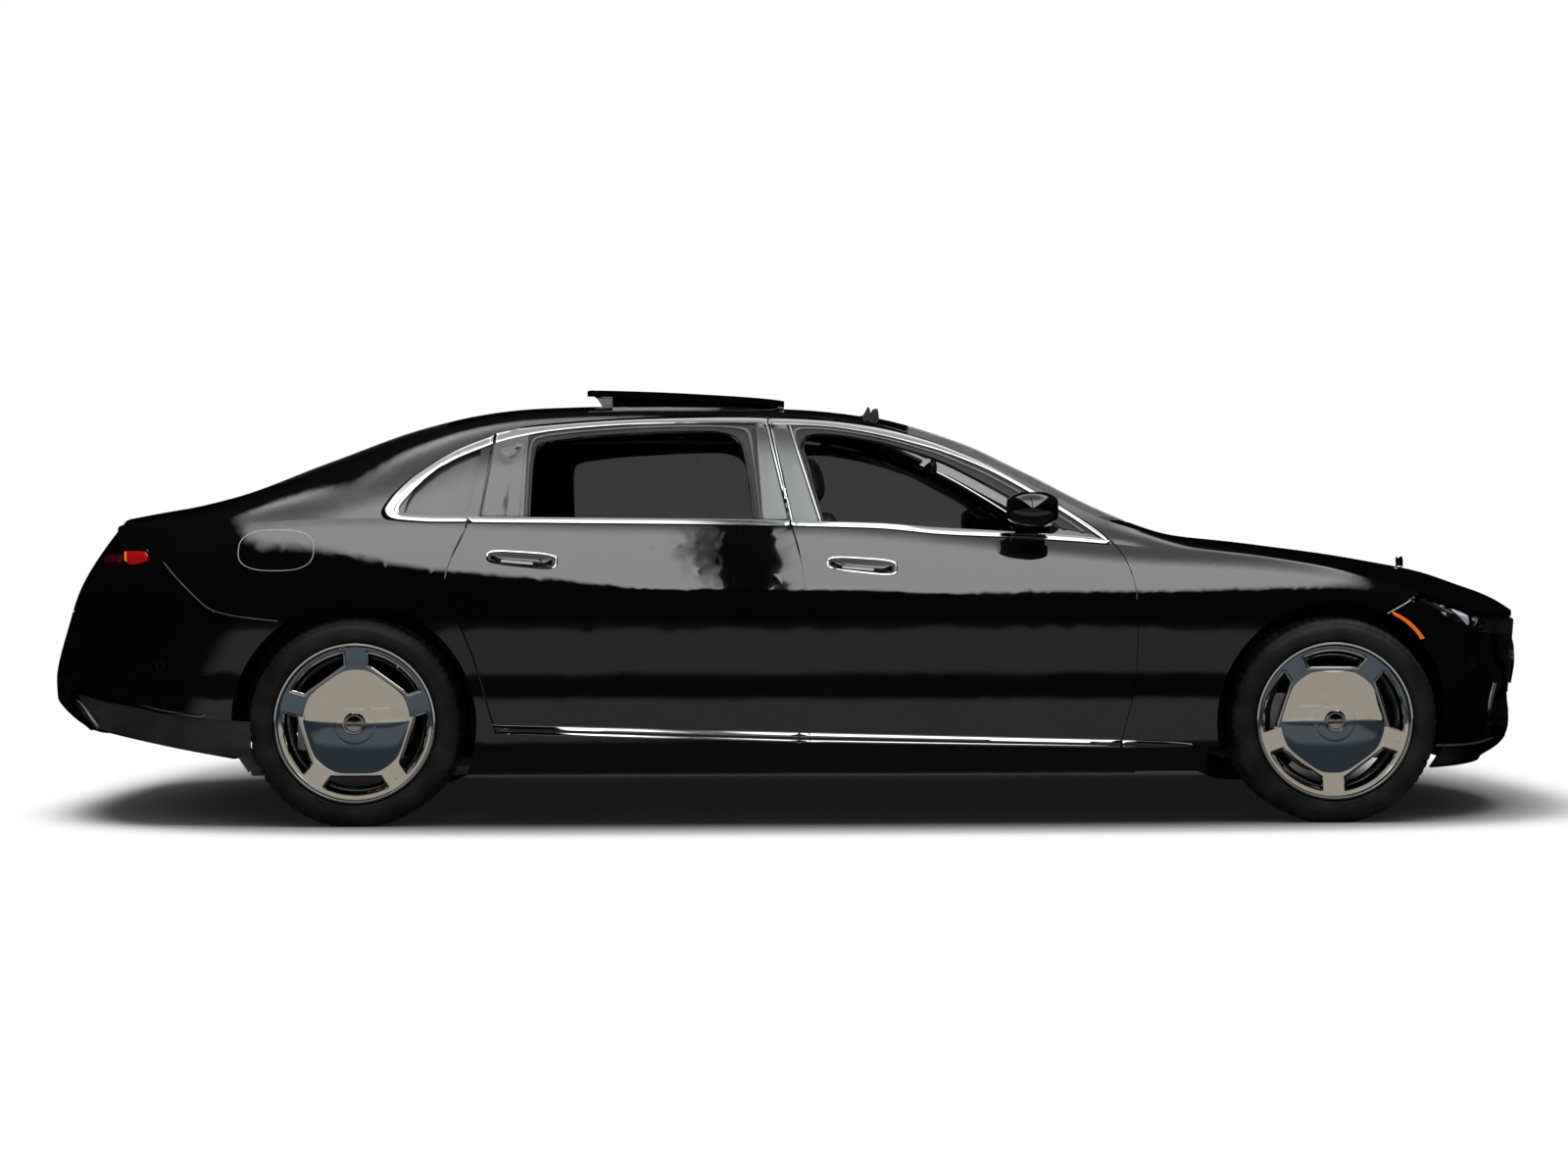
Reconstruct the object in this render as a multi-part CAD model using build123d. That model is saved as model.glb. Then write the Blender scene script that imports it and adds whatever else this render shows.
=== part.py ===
"""Long-wheelbase luxury sedan with four doors, as separate pieces in one frame.

Frame: +X points forward, +Y to the car's left, +Z up. The origin is on the
ground, under the middle of the overall length. All sizes are in millimetres.

The skin is drawn at standard stations: x from the middle of the wheelbase,
y from the centre plane and z from the ground, at the standard size. place()
moves such a point to the real axles, width and height, so every panel, pane
and lamp follows when one of the overall sizes is changed.
"""
from build123d import *
import math
import os

# ---- Overall sizes ----
WHEELBASE = 3396.0
FRONT_OVERHANG = 871.0
REAR_OVERHANG = 1202.0
BODY_WIDTH = 1921.0
HEIGHT = 1506.0

# ---- Wheels ----
TYRE_RADIUS = 363.0
TYRE_WIDTH_FRONT = 255.0
TYRE_WIDTH_REAR = 285.0
RIM_RADIUS = 274.5          # outer edge of the rim flange
TYRE_OUTER_INSET = 18.0     # tyre sidewall inboard of the widest point of the body
TYRE_FLAT = 9.0             # how far a loaded tyre settles
WHEEL_BOLT_RADIUS = 56.0
DISC_RADIUS_FRONT = 192.0
DISC_RADIUS_REAR = 185.0
DISC_THICKNESS = 30.0
ARCH_RADIUS = 418.0
LINER_RADIUS = 446.0
KINGPIN_INSET = 70.0        # kingpin inboard of the wheel's middle plane

# ---- Walls and gaps ----
SKIN = 20.0                 # flange of a door at its shut line
DOOR_DEPTH = 118.0          # whole door below the belt
FRAME_DEPTH = 46.0          # door frame beside the glass
DOOR_FLANGE = 42.0          # how far the flange reaches past the door's inner body
PANEL = 22.0                # fender, hood and bumper walls
ROOF_PANEL = 30.0
LAMP_DEPTH = 110.0
SHUT_GAP = 5.5              # between a moving panel and its neighbour
SEAM = 0.9                  # between two fixed panels
SEAT = 0.4                  # between a part and the buffer or bracket that carries it
GLASS = 5.0
GLASS_SEAT = 0.3

# ---- Standard size that the stations are drawn at ----
STD_AXLE = 1698.0
STD_FRONT_END = 2569.0
STD_REAR_END = 2900.0
STD_HALF_WIDTH = 960.5
STD_HEIGHT = 1506.0
STD_WAIST = 800.0           # below this height nothing stretches with the roof
AXLE_ZONE = 450.0           # nothing this near an axle stretches

LENGTH = FRONT_OVERHANG + WHEELBASE + REAR_OVERHANG
FRONT_AXLE = LENGTH / 2 - FRONT_OVERHANG
REAR_AXLE = FRONT_AXLE - WHEELBASE
WHEEL_HEIGHT = TYRE_RADIUS - TYRE_FLAT
SILL_BOTTOM = 178.0
WIDEST = 700.0              # height of the widest point of the side

RIGHT, LEFT = -1, 1


def at(x):
    """Place of a standard station along the real car."""
    zone = STD_AXLE - AXLE_ZONE
    if x > STD_AXLE + AXLE_ZONE:
        stretch = (FRONT_OVERHANG - AXLE_ZONE) / (STD_FRONT_END - STD_AXLE - AXLE_ZONE)
        return FRONT_AXLE + AXLE_ZONE + (x - STD_AXLE - AXLE_ZONE) * stretch
    if x > zone:
        return FRONT_AXLE + x - STD_AXLE
    if x > -zone:
        share = (x + zone) / (2 * zone)
        return REAR_AXLE + AXLE_ZONE + share * (WHEELBASE - 2 * AXLE_ZONE)
    if x > -STD_AXLE - AXLE_ZONE:
        return REAR_AXLE + x + STD_AXLE
    stretch = (REAR_OVERHANG - AXLE_ZONE) / (STD_REAR_END - STD_AXLE - AXLE_ZONE)
    return REAR_AXLE - AXLE_ZONE + (x + STD_AXLE + AXLE_ZONE) * stretch


def across(y):
    """Distance from the centre plane on the real car."""
    return y * BODY_WIDTH / 2 / STD_HALF_WIDTH


def up(z):
    """Height on the real car."""
    if z < STD_WAIST:
        return z
    return STD_WAIST + (z - STD_WAIST) * (HEIGHT - STD_WAIST) / (STD_HEIGHT - STD_WAIST)


def place(x, y, z):
    return Vector(at(x), across(y), up(z))


# ---- Guide curves ----
class Curve:
    """Smooth curve through (station, value) points, straight on past its ends."""

    def __init__(self, *points):
        points = sorted(points)
        self.x = [p[0] for p in points]
        self.v = [p[1] for p in points]
        self.step = [b - a for a, b in zip(self.x, self.x[1:])]
        rise = [(b - a) / h for a, b, h in zip(self.v, self.v[1:], self.step)]
        count = len(points)
        self.bend = [0.0] * count
        share, rest = [0.0] * count, [0.0] * count
        for i in range(1, count - 1):
            h0, h1 = self.step[i - 1], self.step[i]
            pivot = 2 * (h0 + h1) - h0 * share[i - 1]
            share[i] = h1 / pivot
            rest[i] = (6 * (rise[i] - rise[i - 1]) - h0 * rest[i - 1]) / pivot
        for i in range(count - 2, 0, -1):
            self.bend[i] = rest[i] - share[i] * self.bend[i + 1]
        self.first_slope = rise[0] - self.step[0] * self.bend[1] / 6
        self.last_slope = rise[-1] + self.step[-1] * self.bend[-2] / 6

    def __call__(self, x):
        if x <= self.x[0]:
            return self.v[0] + self.first_slope * (x - self.x[0])
        if x >= self.x[-1]:
            return self.v[-1] + self.last_slope * (x - self.x[-1])
        i = max(k for k in range(len(self.step)) if self.x[k] <= x)
        h = self.step[i]
        a = (self.x[i + 1] - x) / h
        b = 1 - a
        curve = (a ** 3 - a) * self.bend[i] + (b ** 3 - b) * self.bend[i + 1]
        return a * self.v[i] + b * self.v[i + 1] + curve * h * h / 6


# Height of the car on its centre plane, from the deck's edge to the nose.
centre_height = Curve(
    (2558, 720), (2539, 751), (2500, 778), (2461, 797), (2345, 839), (2229, 878),
    (2112, 904), (1996, 924), (1880, 943), (1650, 973), (1418, 1000), (1303, 1011),
    (1187, 1030), (1072, 1068), (957, 1120), (843, 1177), (728, 1238), (613, 1293),
    (499, 1348), (385, 1391), (270, 1428), (156, 1457), (4, 1482), (-148, 1496),
    (-450, 1504), (-750, 1505), (-1054, 1499), (-1166, 1494), (-1279, 1483),
    (-1391, 1465), (-1504, 1439), (-1616, 1407), (-1728, 1367), (-1840, 1323),
    (-1952, 1279), (-2064, 1231), (-2176, 1186), (-2287, 1152), (-2399, 1125),
    (-2510, 1106), (-2621, 1087), (-2740, 1065))
# How much lower the top is at its side edge: hood line, windshield, roof, deck.
top_drop = Curve(
    (2300, 155), (2060, 118), (2000, 108), (1800, 78), (1500, 55), (1200, 50), (1050, 62),
    (900, 85), (600, 88), (300, 72), (100, 58), (-300, 48), (-800, 46), (-1200, 52),
    (-1500, 62), (-1800, 68), (-2000, 65), (-2200, 60), (-2400, 56), (-2600, 56))
# Distance of that edge from the centre plane.
top_edge = Curve(
    (2300, 790), (2060, 800), (1800, 815), (1500, 820), (1200, 815), (1050, 805), (900, 785),
    (600, 735), (300, 670), (100, 625), (-300, 575), (-800, 560), (-1200, 560),
    (-1500, 560), (-1800, 575), (-2000, 605), (-2200, 650), (-2350, 665),
    (-2500, 650), (-2600, 595))
# Half width at the widest height, before the ends are rounded in plan.
half_width = Curve(
    (2600, 915), (1850, 930), (1700, 940), (1400, 951), (1000, 956), (500, 959),
    (-200, 960.5), (-800, 960), (-1300, 957), (-1700, 955), (-2000, 948),
    (-2300, 944), (-2600, 940))
# How far the belt lies inboard of that, and its height.
belt_inset = Curve(
    (2060, 50), (1500, 70), (1100, 85), (900, 95), (500, 90), (-1000, 85),
    (-1600, 80), (-2000, 85), (-2600, 90))
belt_height = Curve(
    (2600, 782), (2300, 780), (2060, 782), (2000, 797), (1800, 860), (1600, 902), (1300, 938), (1050, 960),
    (870, 980), (570, 1003), (320, 1018), (100, 1034), (-360, 1046), (-1200, 1056),
    (-1600, 1060), (-2000, 1048), (-2200, 1028), (-2400, 1000), (-2600, 968))
# Lean of the skin where it meets the top edge, in degrees from upright.
edge_lean = Curve(
    (2060, 78), (1500, 78), (1150, 74), (950, 52), (700, 46), (300, 52), (0, 68),
    (-300, 80), (-1200, 80), (-1500, 78), (-1800, 77), (-2200, 79), (-2600, 80))
# Reach of the nose and of the tail on the centre plane, by height.
nose_reach = Curve(
    (170, 2430), (192, 2460), (247, 2530), (302, 2556), (412, 2547), (522, 2557),
    (632, 2564), (687, 2569), (760, 2560), (800, 2540))
tail_reach = Curve(
    (170, 2835), (316, 2853), (370, 2885), (424, 2896), (477, 2900), (584, 2882),
    (691, 2850), (799, 2815), (906, 2762), (1013, 2700), (1100, 2650))

NOSE_START, TAIL_START = 1850.0, -2000.0
NOSE_ROUNDING, TAIL_ROUNDING = 2.0, 2.8
MAX_RISE = 1.5              # how far past the belt the shoulder keeps turning in, as a share of its height
GLASS_LEAN = 24.0           # lean of the side glass at the belt, in degrees
FIRST_STATION, LAST_STATION = -2590, 2060
STATIONS = [LAST_STATION, 2000, 1900, 1800, 1700, 1600, 1500, 1400, 1300, 1200,
            1120, 1060, 1000, 940, 880, 800, 700, 600, 500, 400, 300, 200, 100, 0,
            -150, -300, -500, -700, -900, -1100, -1250, -1400, -1500, -1600, -1700,
            -1800, -1900, -2000, -2100, -2200, -2300, -2400, -2500, FIRST_STATION]
LOW_POINTS, HIGH_POINTS = 11, 8


def blend(a, b, x):
    """0 before a, 1 past b, and smooth between."""
    t = min(1.0, max(0.0, (x - a) / (b - a)))
    return t * t * (3 - 2 * t)


def end_rounding(x, z):
    """Share of the width that is left where nose or tail rounds in plan."""
    if x > NOSE_START:
        reach = (x - NOSE_START) / (nose_reach(z) - NOSE_START)
        return max(0.0, 1 - reach ** NOSE_ROUNDING) ** (1 / NOSE_ROUNDING)
    if x < TAIL_START:
        reach = (TAIL_START - x) / (tail_reach(z) + TAIL_START)
        return max(0.0, 1 - reach ** TAIL_ROUNDING) ** (1 / TAIL_ROUNDING)
    return 1.0


def side_inset(x, z):
    """How far the side lies inboard of its widest point at this height."""
    if z > WIDEST:
        rise = (z - WIDEST) / (belt_height(x) - WIDEST)
        return belt_inset(x) * min(rise, MAX_RISE) ** 3
    inset = 16 * ((WIDEST - z) / 400) ** 2
    if z < 300:
        inset += 45 * ((300 - z) / 130) ** 2
    return inset


def side(x, z):
    """Distance of the side from the centre plane, up to the belt."""
    return (half_width(x) - side_inset(x, z)) * end_rounding(x, z)


def unit(v):
    size = math.hypot(*v)
    return (v[0] / size, v[1] / size)


def section(x):
    """Cross-section of the skin, (y, z) from the sill to the belt and from there to the top edge."""
    belt = belt_height(x)
    low = []
    for i in range(LOW_POINTS):
        z = SILL_BOTTOM + (belt - SILL_BOTTOM) * i / (LOW_POINTS - 1)
        low.append((side(x, z), z))
    start = low[-1]
    end = (top_edge(x), centre_height(x) - top_drop(x))
    chord = math.hypot(end[0] - start[0], end[1] - start[1])
    soft = unit((side(x, belt) - side(x, belt - 1), 1.0))
    glass = unit((-math.tan(math.radians(GLASS_LEAN)), 1.0))
    sharp = blend(-1900, -1600, x) * (1 - blend(950, 1150, x))
    first = unit([a + (b - a) * sharp for a, b in zip(soft, glass)])
    lean = math.radians(edge_lean(x))
    last = (-math.sin(lean), math.cos(lean))
    high = []
    for i in range(HIGH_POINTS):
        s = i / (HIGH_POINTS - 1)
        weights = (2 * s ** 3 - 3 * s * s + 1, (s ** 3 - 2 * s * s + s) * chord,
                   3 * s * s - 2 * s ** 3, (s ** 3 - s * s) * chord)
        parts = (start, first, end, last)
        high.append(tuple(sum(w * p[k] for w, p in zip(weights, parts)) for k in (0, 1)))
    return low, high


def side_width(x, z):
    """Distance of the skin from the centre plane at any height up to the top edge."""
    low, high = section(x)
    points = low + high[1:]
    for a, b in zip(points, points[1:]):
        if a[1] <= z <= b[1]:
            return a[0] + (b[0] - a[0]) * (z - a[1]) / (b[1] - a[1])
    return points[-1][0]


def top_height(x, y):
    """Height of the hood, glass, roof or deck at a distance y from the centre plane."""
    return centre_height(x) - top_drop(x) * (y / top_edge(x)) ** 2


# ---- Building surfaces ----
def spline(points):
    count = len(points)
    return Edge.make_spline(points, parameters=[i / (count - 1) for i in range(count)])


def inward(points, depth):
    """The section moved inboard, square to itself, by depth(height) or a plain depth."""
    moved = []
    for i, (y, z) in enumerate(points):
        before, after = points[max(0, i - 1)], points[min(len(points) - 1, i + 1)]
        along = unit((after[0] - before[0], after[1] - before[1]))
        step = depth(z) if callable(depth) else depth
        moved.append((y - along[1] * step, z + along[0] * step))
    return moved


def side_band(outer, inner, hand, first=FIRST_STATION, last=LAST_STATION, upright=True):
    """Solid between two depths of the side skin, from sill to top edge, its upper end upright or square."""
    wires = []
    for x in STATIONS:
        if not first <= x <= last:
            continue
        low, high = section(x)
        points = low + high[1:]
        outside = inward(points, outer)
        inside = inward(points, inner)
        if upright:
            inside = [(max(y, outside[-1][0]), z) for y, z in inside]
        p = [place(x, hand * y, z) for y, z in outside]
        q = [place(x, hand * y, z) for y, z in inside]
        wires.append(Wire([spline(p[:LOW_POINTS]), spline(p[LOW_POINTS - 1:]),
                           Edge.make_line(p[-1], q[-1]), spline(q[LOW_POINTS - 1:][::-1]),
                           spline(q[:LOW_POINTS][::-1]), Edge.make_line(q[0], p[0])]))
    return Solid.make_loft(wires)


def door_depth(z):
    """Whole thickness of the side at a height: door body, then the frame beside the glass."""
    return DOOR_DEPTH + (FRAME_DEPTH - DOOR_DEPTH) * blend(930, 1090, z)


TOP_ROWS = 9


def top_slab(depth, lift, x_from, x_to, inset=0.0, reach=1.0, step=60.0):
    """Slab under the top surface, from one station to another, between its side edges."""
    count = max(3, round(abs(x_to - x_from) / step))
    wires = []
    for i in range(count + 1):
        x = x_from + (x_to - x_from) * i / count
        half = top_edge(x) * reach - inset
        rows = [half * (2 * k / (TOP_ROWS - 1) - 1) for k in range(TOP_ROWS)]
        upper = [place(x, y, top_height(x, y)) + Vector(0, 0, lift) for y in rows]
        lower = [p - Vector(0, 0, depth) for p in upper]
        wires.append(Wire([spline(upper), Edge.make_line(upper[-1], lower[-1]),
                           spline(lower[::-1]), Edge.make_line(lower[0], upper[0])]))
    return Solid.make_loft(wires)


END_ROWS = 10


def end_block(front, depth, z_from, z_to, levels, back):
    """Solid inside the nose or tail skin, moved in by depth, back to a flat plane."""
    wires = []
    for i in range(levels + 1):
        z = z_from + (z_to - z_from) * i / levels
        end = (nose_reach(z) if front else -tail_reach(z))
        start = NOSE_START if front else TAIL_START
        half = []
        for k in range(END_ROWS + 1):
            turn = math.pi / 2 * k / END_ROWS
            power = 2 / (NOSE_ROUNDING if front else TAIL_ROUNDING)
            x = start + (end - start) * math.sin(turn) ** power
            y = (half_width(x) - side_inset(x, z)) * math.cos(turn) ** power
            half.append((x, y))
        run = [(back + (start - back) * k / 4, None) for k in range(4)]
        run = [(x, half_width(x) - side_inset(x, z)) for x, _ in run]
        half = run + half
        ring = [(x, -y) for x, y in half] + [(x, y) for x, y in half[-2::-1]]
        moved = []
        for k, (x, y) in enumerate(ring):
            a, b = ring[max(0, k - 1)], ring[min(len(ring) - 1, k + 1)]
            along = unit((b[0] - a[0], b[1] - a[1]))
            flip = 1 if front else -1
            if k in (0, len(ring) - 1):
                moved.append((x, y + (depth if y < 0 else -depth)))
            else:
                moved.append((x - flip * along[1] * depth, y + flip * along[0] * depth))
        points = [place(x, y, z) for x, y in moved]
        wires.append(Wire([spline(points), Edge.make_line(points[-1], points[0])]))
    return Solid.make_loft(wires)


class Outline:
    """Closed outline in side view, made of runs of (x, z) points; a run of more than two is a curve."""

    def __init__(self, *runs):
        self.runs = [list(run) for run in runs]

    def points(self):
        return [p for run in self.runs for p in run[:-1]]

    def grown(self, amount):
        """The outline moved outwards, or inwards if amount is negative."""
        points = self.points()
        count = len(points)
        area = sum(points[i - 1][0] * points[i][1] - points[i][0] * points[i - 1][1]
                   for i in range(count))
        turn = 1 if area > 0 else -1
        moved = []
        for i, p in enumerate(points):
            a = unit((p[0] - points[i - 1][0], p[1] - points[i - 1][1]))
            after = points[(i + 1) % count]
            b = unit((after[0] - p[0], after[1] - p[1]))
            na, nb = (a[1] * turn, -a[0] * turn), (b[1] * turn, -b[0] * turn)
            share = amount / max(0.35, 1 + na[0] * nb[0] + na[1] * nb[1])
            moved.append((p[0] + (na[0] + nb[0]) * share, p[1] + (na[1] + nb[1]) * share))
        runs, k = [], 0
        for run in self.runs:
            size = len(run) - 1
            runs.append([moved[(k + j) % count] for j in range(size + 1)])
            k += size
        return Outline(*runs)

    def prism(self, y_from, y_to):
        """Solid of this outline between two distances from the centre plane."""
        edges = []
        for run in self.runs:
            points = [Vector(at(x), y_from, up(z)) for x, z in run]
            if len(points) == 2:
                edges.append(Edge.make_line(*points))
            else:
                edges.append(Edge.make_spline(points))
        return extrude(Face(Wire(edges)), amount=abs(y_to - y_from), dir=(0, 1 if y_to > y_from else -1, 0))


def block(x0, x1, y0, y1, z0, z1):
    """Box between corners given on the real car."""
    return Pos((x0 + x1) / 2, (y0 + y1) / 2, (z0 + z1) / 2) * Box(abs(x1 - x0), abs(y1 - y0), abs(z1 - z0))


def rod(start, end, radius):
    """Round bar between two points."""
    start, end = Vector(*start), Vector(*end)
    return Solid.make_cylinder(radius, (end - start).length, Plane(start, z_dir=end - start))


def axle_cylinder(x, radius, y_from, y_to):
    """Cylinder along Y about a wheel's axis."""
    low, high = min(y_from, y_to), max(y_from, y_to)
    return Solid.make_cylinder(radius, high - low, Plane((x, low, WHEEL_HEIGHT), z_dir=(0, 1, 0)))


def solid_of(shape):
    """The largest solid of a result, without slivers."""
    solids = sorted(shape.solids(), key=lambda s: s.volume)
    return solids[-1]


def compound(*shapes):
    return Compound(children=[s for shape in shapes for s in shape.solids()])


WIDE = BODY_WIDTH            # further out than any piece of the skin

# ---- Outlines of the doors, at their real shut lines ----
PILLAR_LINE = [(-283, 1432), (-270, 1370), (-252, 1290), (-228, 1175), (-203, 1045), (-181, 975),
               (-160, 860), (-141, 730), (-137, 630), (-142, 500), (-155, 380), (-170, 285)]
REAR_DOOR = Outline(
    PILLAR_LINE,
    [(-170, 285), (-1215, 322)],
    [(-1215, 322), (-1235, 391), (-1274, 529), (-1326, 667), (-1372, 765), (-1385, 819),
     (-1381, 883), (-1357, 948), (-1330, 1010), (-1319, 1048)],
    [(-1319, 1048), (-1284, 1060)],
    [(-1284, 1060), (-1268, 1178), (-1255, 1300), (-1247, 1361)],
    [(-1247, 1361), (-1171, 1384), (-1039, 1402), (-808, 1420), (-606, 1429), (-420, 1432), (-283, 1432)])
FRONT_DOOR = Outline(
    PILLAR_LINE[::-1],
    [(-283, 1432), (-180, 1431), (-95, 1427), (26, 1413), (147, 1391), (247, 1363), (335, 1332), (480, 1266),
     (620, 1188), (764, 1101), (861, 1034), (930, 974)],
    [(930, 974), (955, 940), (972, 905), (990, 848), (1002, 751), (1002, 648), (984, 438), (950, 299),
     (944, 262)],
    [(944, 262), (-170, 285)])
REAR_WINDOW_HOLE = Outline(
    [(-1104, 1062), (-1104, 1180), (-1100, 1290)],
    [(-1100, 1290), (-1085, 1318), (-1050, 1332)],
    [(-1050, 1332), (-917, 1350), (-750, 1362), (-606, 1369), (-470, 1371)],
    [(-470, 1371), (-410, 1352), (-375, 1305)],
    [(-375, 1305), (-350, 1180), (-335, 1056)],
    [(-335, 1056), (-1104, 1062)])
REAR_FIXED_HOLE = Outline(
    [(-1247, 1066), (-1236, 1178), (-1224, 1290)],
    [(-1224, 1290), (-1190, 1303), (-1147, 1315)],
    [(-1147, 1315), (-1149, 1190), (-1150, 1064)],
    [(-1150, 1064), (-1247, 1066)])
FRONT_WINDOW_HOLE = Outline(
    [(-88, 1048), (-120, 1180), (-152, 1300)],
    [(-152, 1300), (-155, 1345), (-110, 1362)],
    [(-110, 1362), (-17, 1358), (104, 1336), (223, 1303), (331, 1264), (477, 1188), (561, 1140), (680, 1068),
     (742, 1030)],
    [(742, 1030), (720, 1011), (690, 1010)],
    [(690, 1010), (320, 1030), (-88, 1048)])
QUARTER_HOLE = Outline(
    [(-1540, 1078), (-1528, 1128), (-1472, 1205), (-1390, 1262), (-1290, 1306)],
    [(-1290, 1306), (-1300, 1190), (-1318, 1078)],
    [(-1318, 1078), (-1540, 1078)])


def door_shell(outline, holes, hand):
    """Whole door: skin flange to its shut line and a deeper body behind it, with its windows cut."""
    whole = side_band(0, door_depth, hand)
    behind = side_band(SKIN, lambda z: door_depth(z) + 90, hand, upright=False)
    face = outline.grown(-SHUT_GAP / 2)
    body = outline.grown(-DOOR_FLANGE)
    door = whole & face.prism(0, hand * WIDE)
    rim = (face.grown(60).prism(0, hand * WIDE) - body.prism(0, hand * WIDE)) & behind
    door = door - rim
    for hole in holes:
        door = door - hole.prism(0, hand * WIDE)
    return solid_of(door)


def glass_pane(hole, hand, margin=-GLASS_SEAT):
    """Pane that fills a window hole, set a little below the frame's face."""
    layer = side_band(14, 14 + GLASS, hand)
    return solid_of(layer & hole.grown(margin).prism(0, hand * WIDE))


def write(name, shape):
    solids = shape.solids()
    export_step(solids[0] if len(solids) == 1 else Compound(children=list(solids)), f"parts/{name}.step")


SIDE_NAMES = {RIGHT: "right", LEFT: "left"}

# ---- Outlines of the other panels ----
BUMPER_LINE_FRONT = [(1865, 705), (1885, 728), (1945, 768), (2026, 803)]
LAMP_FLOOR_FRONT = [(2026, 803), (2068, 752), (2130, 708), (2210, 674), (2300, 655), (2420, 648)]
BUMPER_LINE_REAR = [(-1935, 700), (-2044, 722), (-2164, 739), (-2200, 755), (-2262, 808), (-2353, 900)]
LAMP_TIP_REAR, LAMP_FLOOR_BEND, LAMP_FLOOR_END = (-2353, 900), (-2450, 884), (-2720, 862)
LAMP_TOP_BEND, LAMP_TOP_END = (-2440, 952), (-2720, 958)
FENDER_SILL = 266.0
DECK_TOP = 1200.0
FENDER = Outline(
    [(905, DECK_TOP), (912, 1060), (930, 976)],
    [(930, 976), (955, 940), (972, 905), (990, 848), (1002, 751), (1002, 648), (984, 438), (950, 299),
     (944, FENDER_SILL)],
    [(944, FENDER_SILL), (1330, FENDER_SILL)],
    [(1330, FENDER_SILL), (1500, 420)],
    [(1500, 420), (1865, 705)],
    BUMPER_LINE_FRONT,
    [(2026, 803), (LAST_STATION, 830)],
    [(LAST_STATION, 830), (LAST_STATION, DECK_TOP)],
    [(LAST_STATION, DECK_TOP), (905, DECK_TOP)])
FRONT_BUMPER = Outline(
    BUMPER_LINE_FRONT,
    LAMP_FLOOR_FRONT,
    [(2420, 648), (2700, 648)],
    [(2700, 648), (2700, 100)],
    [(2700, 100), (1700, 100)],
    [(1700, 100), (1865, 705)])
HEADLAMP = Outline(
    LAMP_FLOOR_FRONT,
    [(2420, 648), (2700, 648)],
    [(2700, 648), (2700, 900)],
    [(2700, 900), (2026, 900)],
    [(2026, 900), (2026, 803)])
REAR_BUMPER = Outline(
    BUMPER_LINE_REAR,
    [LAMP_TIP_REAR, LAMP_FLOOR_BEND],
    [LAMP_FLOOR_BEND, LAMP_FLOOR_END],
    [LAMP_FLOOR_END, (-3000, 862)],
    [(-3000, 862), (-3000, 420)],
    [(-3000, 420), (-2740, 372), (-2665, 334), (-2560, 315)],
    [(-2560, 315), (-2110, 232)],
    [(-2110, 232), (-1700, 300)],
    [(-1700, 300), (-1935, 700)])
TAIL_LAMP = Outline(
    [LAMP_TIP_REAR, LAMP_FLOOR_BEND],
    [LAMP_FLOOR_BEND, LAMP_FLOOR_END],
    [LAMP_FLOOR_END, (-3000, 862)],
    [(-3000, 862), (-3000, 958)],
    [(-3000, 958), LAMP_TOP_END],
    [LAMP_TOP_END, LAMP_TOP_BEND],
    [LAMP_TOP_BEND, LAMP_TIP_REAR])

HOOD_REAR = [(905, 830), (930, 760), (1010, 580), (1110, 290), (1150, 0)]
GLASS_BASE = [(868, 830), (892, 745), (965, 580), (1060, 290), (1100, 0)]
HEADER = [(205, 830), (215, 600), (240, 300), (250, 0)]
BACKLIGHT_TOP = [(-1430, 830), (-1440, 560), (-1462, 280), (-1470, 0)]
BACKLIGHT_BASE = [(-2135, 830), (-2120, 600), (-2085, 290), (-2072, 0)]
LID_FRONT = [(-2160, 830), (-2150, 600), (-2118, 290), (-2105, 0)]

SUNROOF_FRONT, SUNROOF_REAR, SUNROOF_HALF = 130.0, -640.0, 420.0
ROOF_GLASS_FRONT, ROOF_GLASS_REAR = -672.0, -1340.0
SUNROOF_LENGTH = 722.0
SUNROOF_PARKED_FRONT = -223.0   # front edge of the panel, slid back over the roof
SUNROOF_LIFT_FRONT, SUNROOF_LIFT_REAR = 26.0, 62.0
RUNNER_GAP = 0.7             # between the runners of the sliding panel and the roof under them
GRILLE_TOP, GRILLE_BOTTOM = 712.0, 425.0
GRILLE_HALF_TOP, GRILLE_HALF_BOTTOM = 330.0, 372.0
GRILLE_BARS = 19
LID_HALF_FACE = 560.0       # half width of the boot lid in the tail
LID_FLOOR = 735.0


def plan_prism(front, rear):
    """Region between two curves across the car, each given for one side as (x, y)."""
    def curve(points):
        left = [Vector(at(x), across(y), 0) for x, y in points]
        right = [Vector(at(x), -across(y), 0) for x, y in points[-2::-1]]
        return left + right
    a, b = curve(front), curve(rear)
    wire = Wire([Edge.make_spline(a), Edge.make_line(a[-1], b[-1]),
                 Edge.make_spline(b[::-1]), Edge.make_line(b[0], a[0])])
    return extrude(Face(wire), amount=2 * HEIGHT, dir=(0, 0, 1))


def straight(x):
    """A straight edge across the car at one station, for plan_prism."""
    return [(x, 830), (x, 600), (x, 290), (x, 0)]


def shifted(curve, amount):
    return [(x + amount, y) for x, y in curve]


def face_prism(points, x_from, x_to):
    """Outline of (y, z) points seen from the front, extruded along the car."""
    corners = [Vector(at(x_from), across(y), up(z)) for y, z in points]
    edges = [Edge.make_line(corners[i - 1], corners[i]) for i in range(len(corners))]
    way = 1 if x_to > x_from else -1
    return extrude(Face(Wire(edges)), amount=abs(at(x_to) - at(x_from)), dir=(way, 0, 0))


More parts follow.
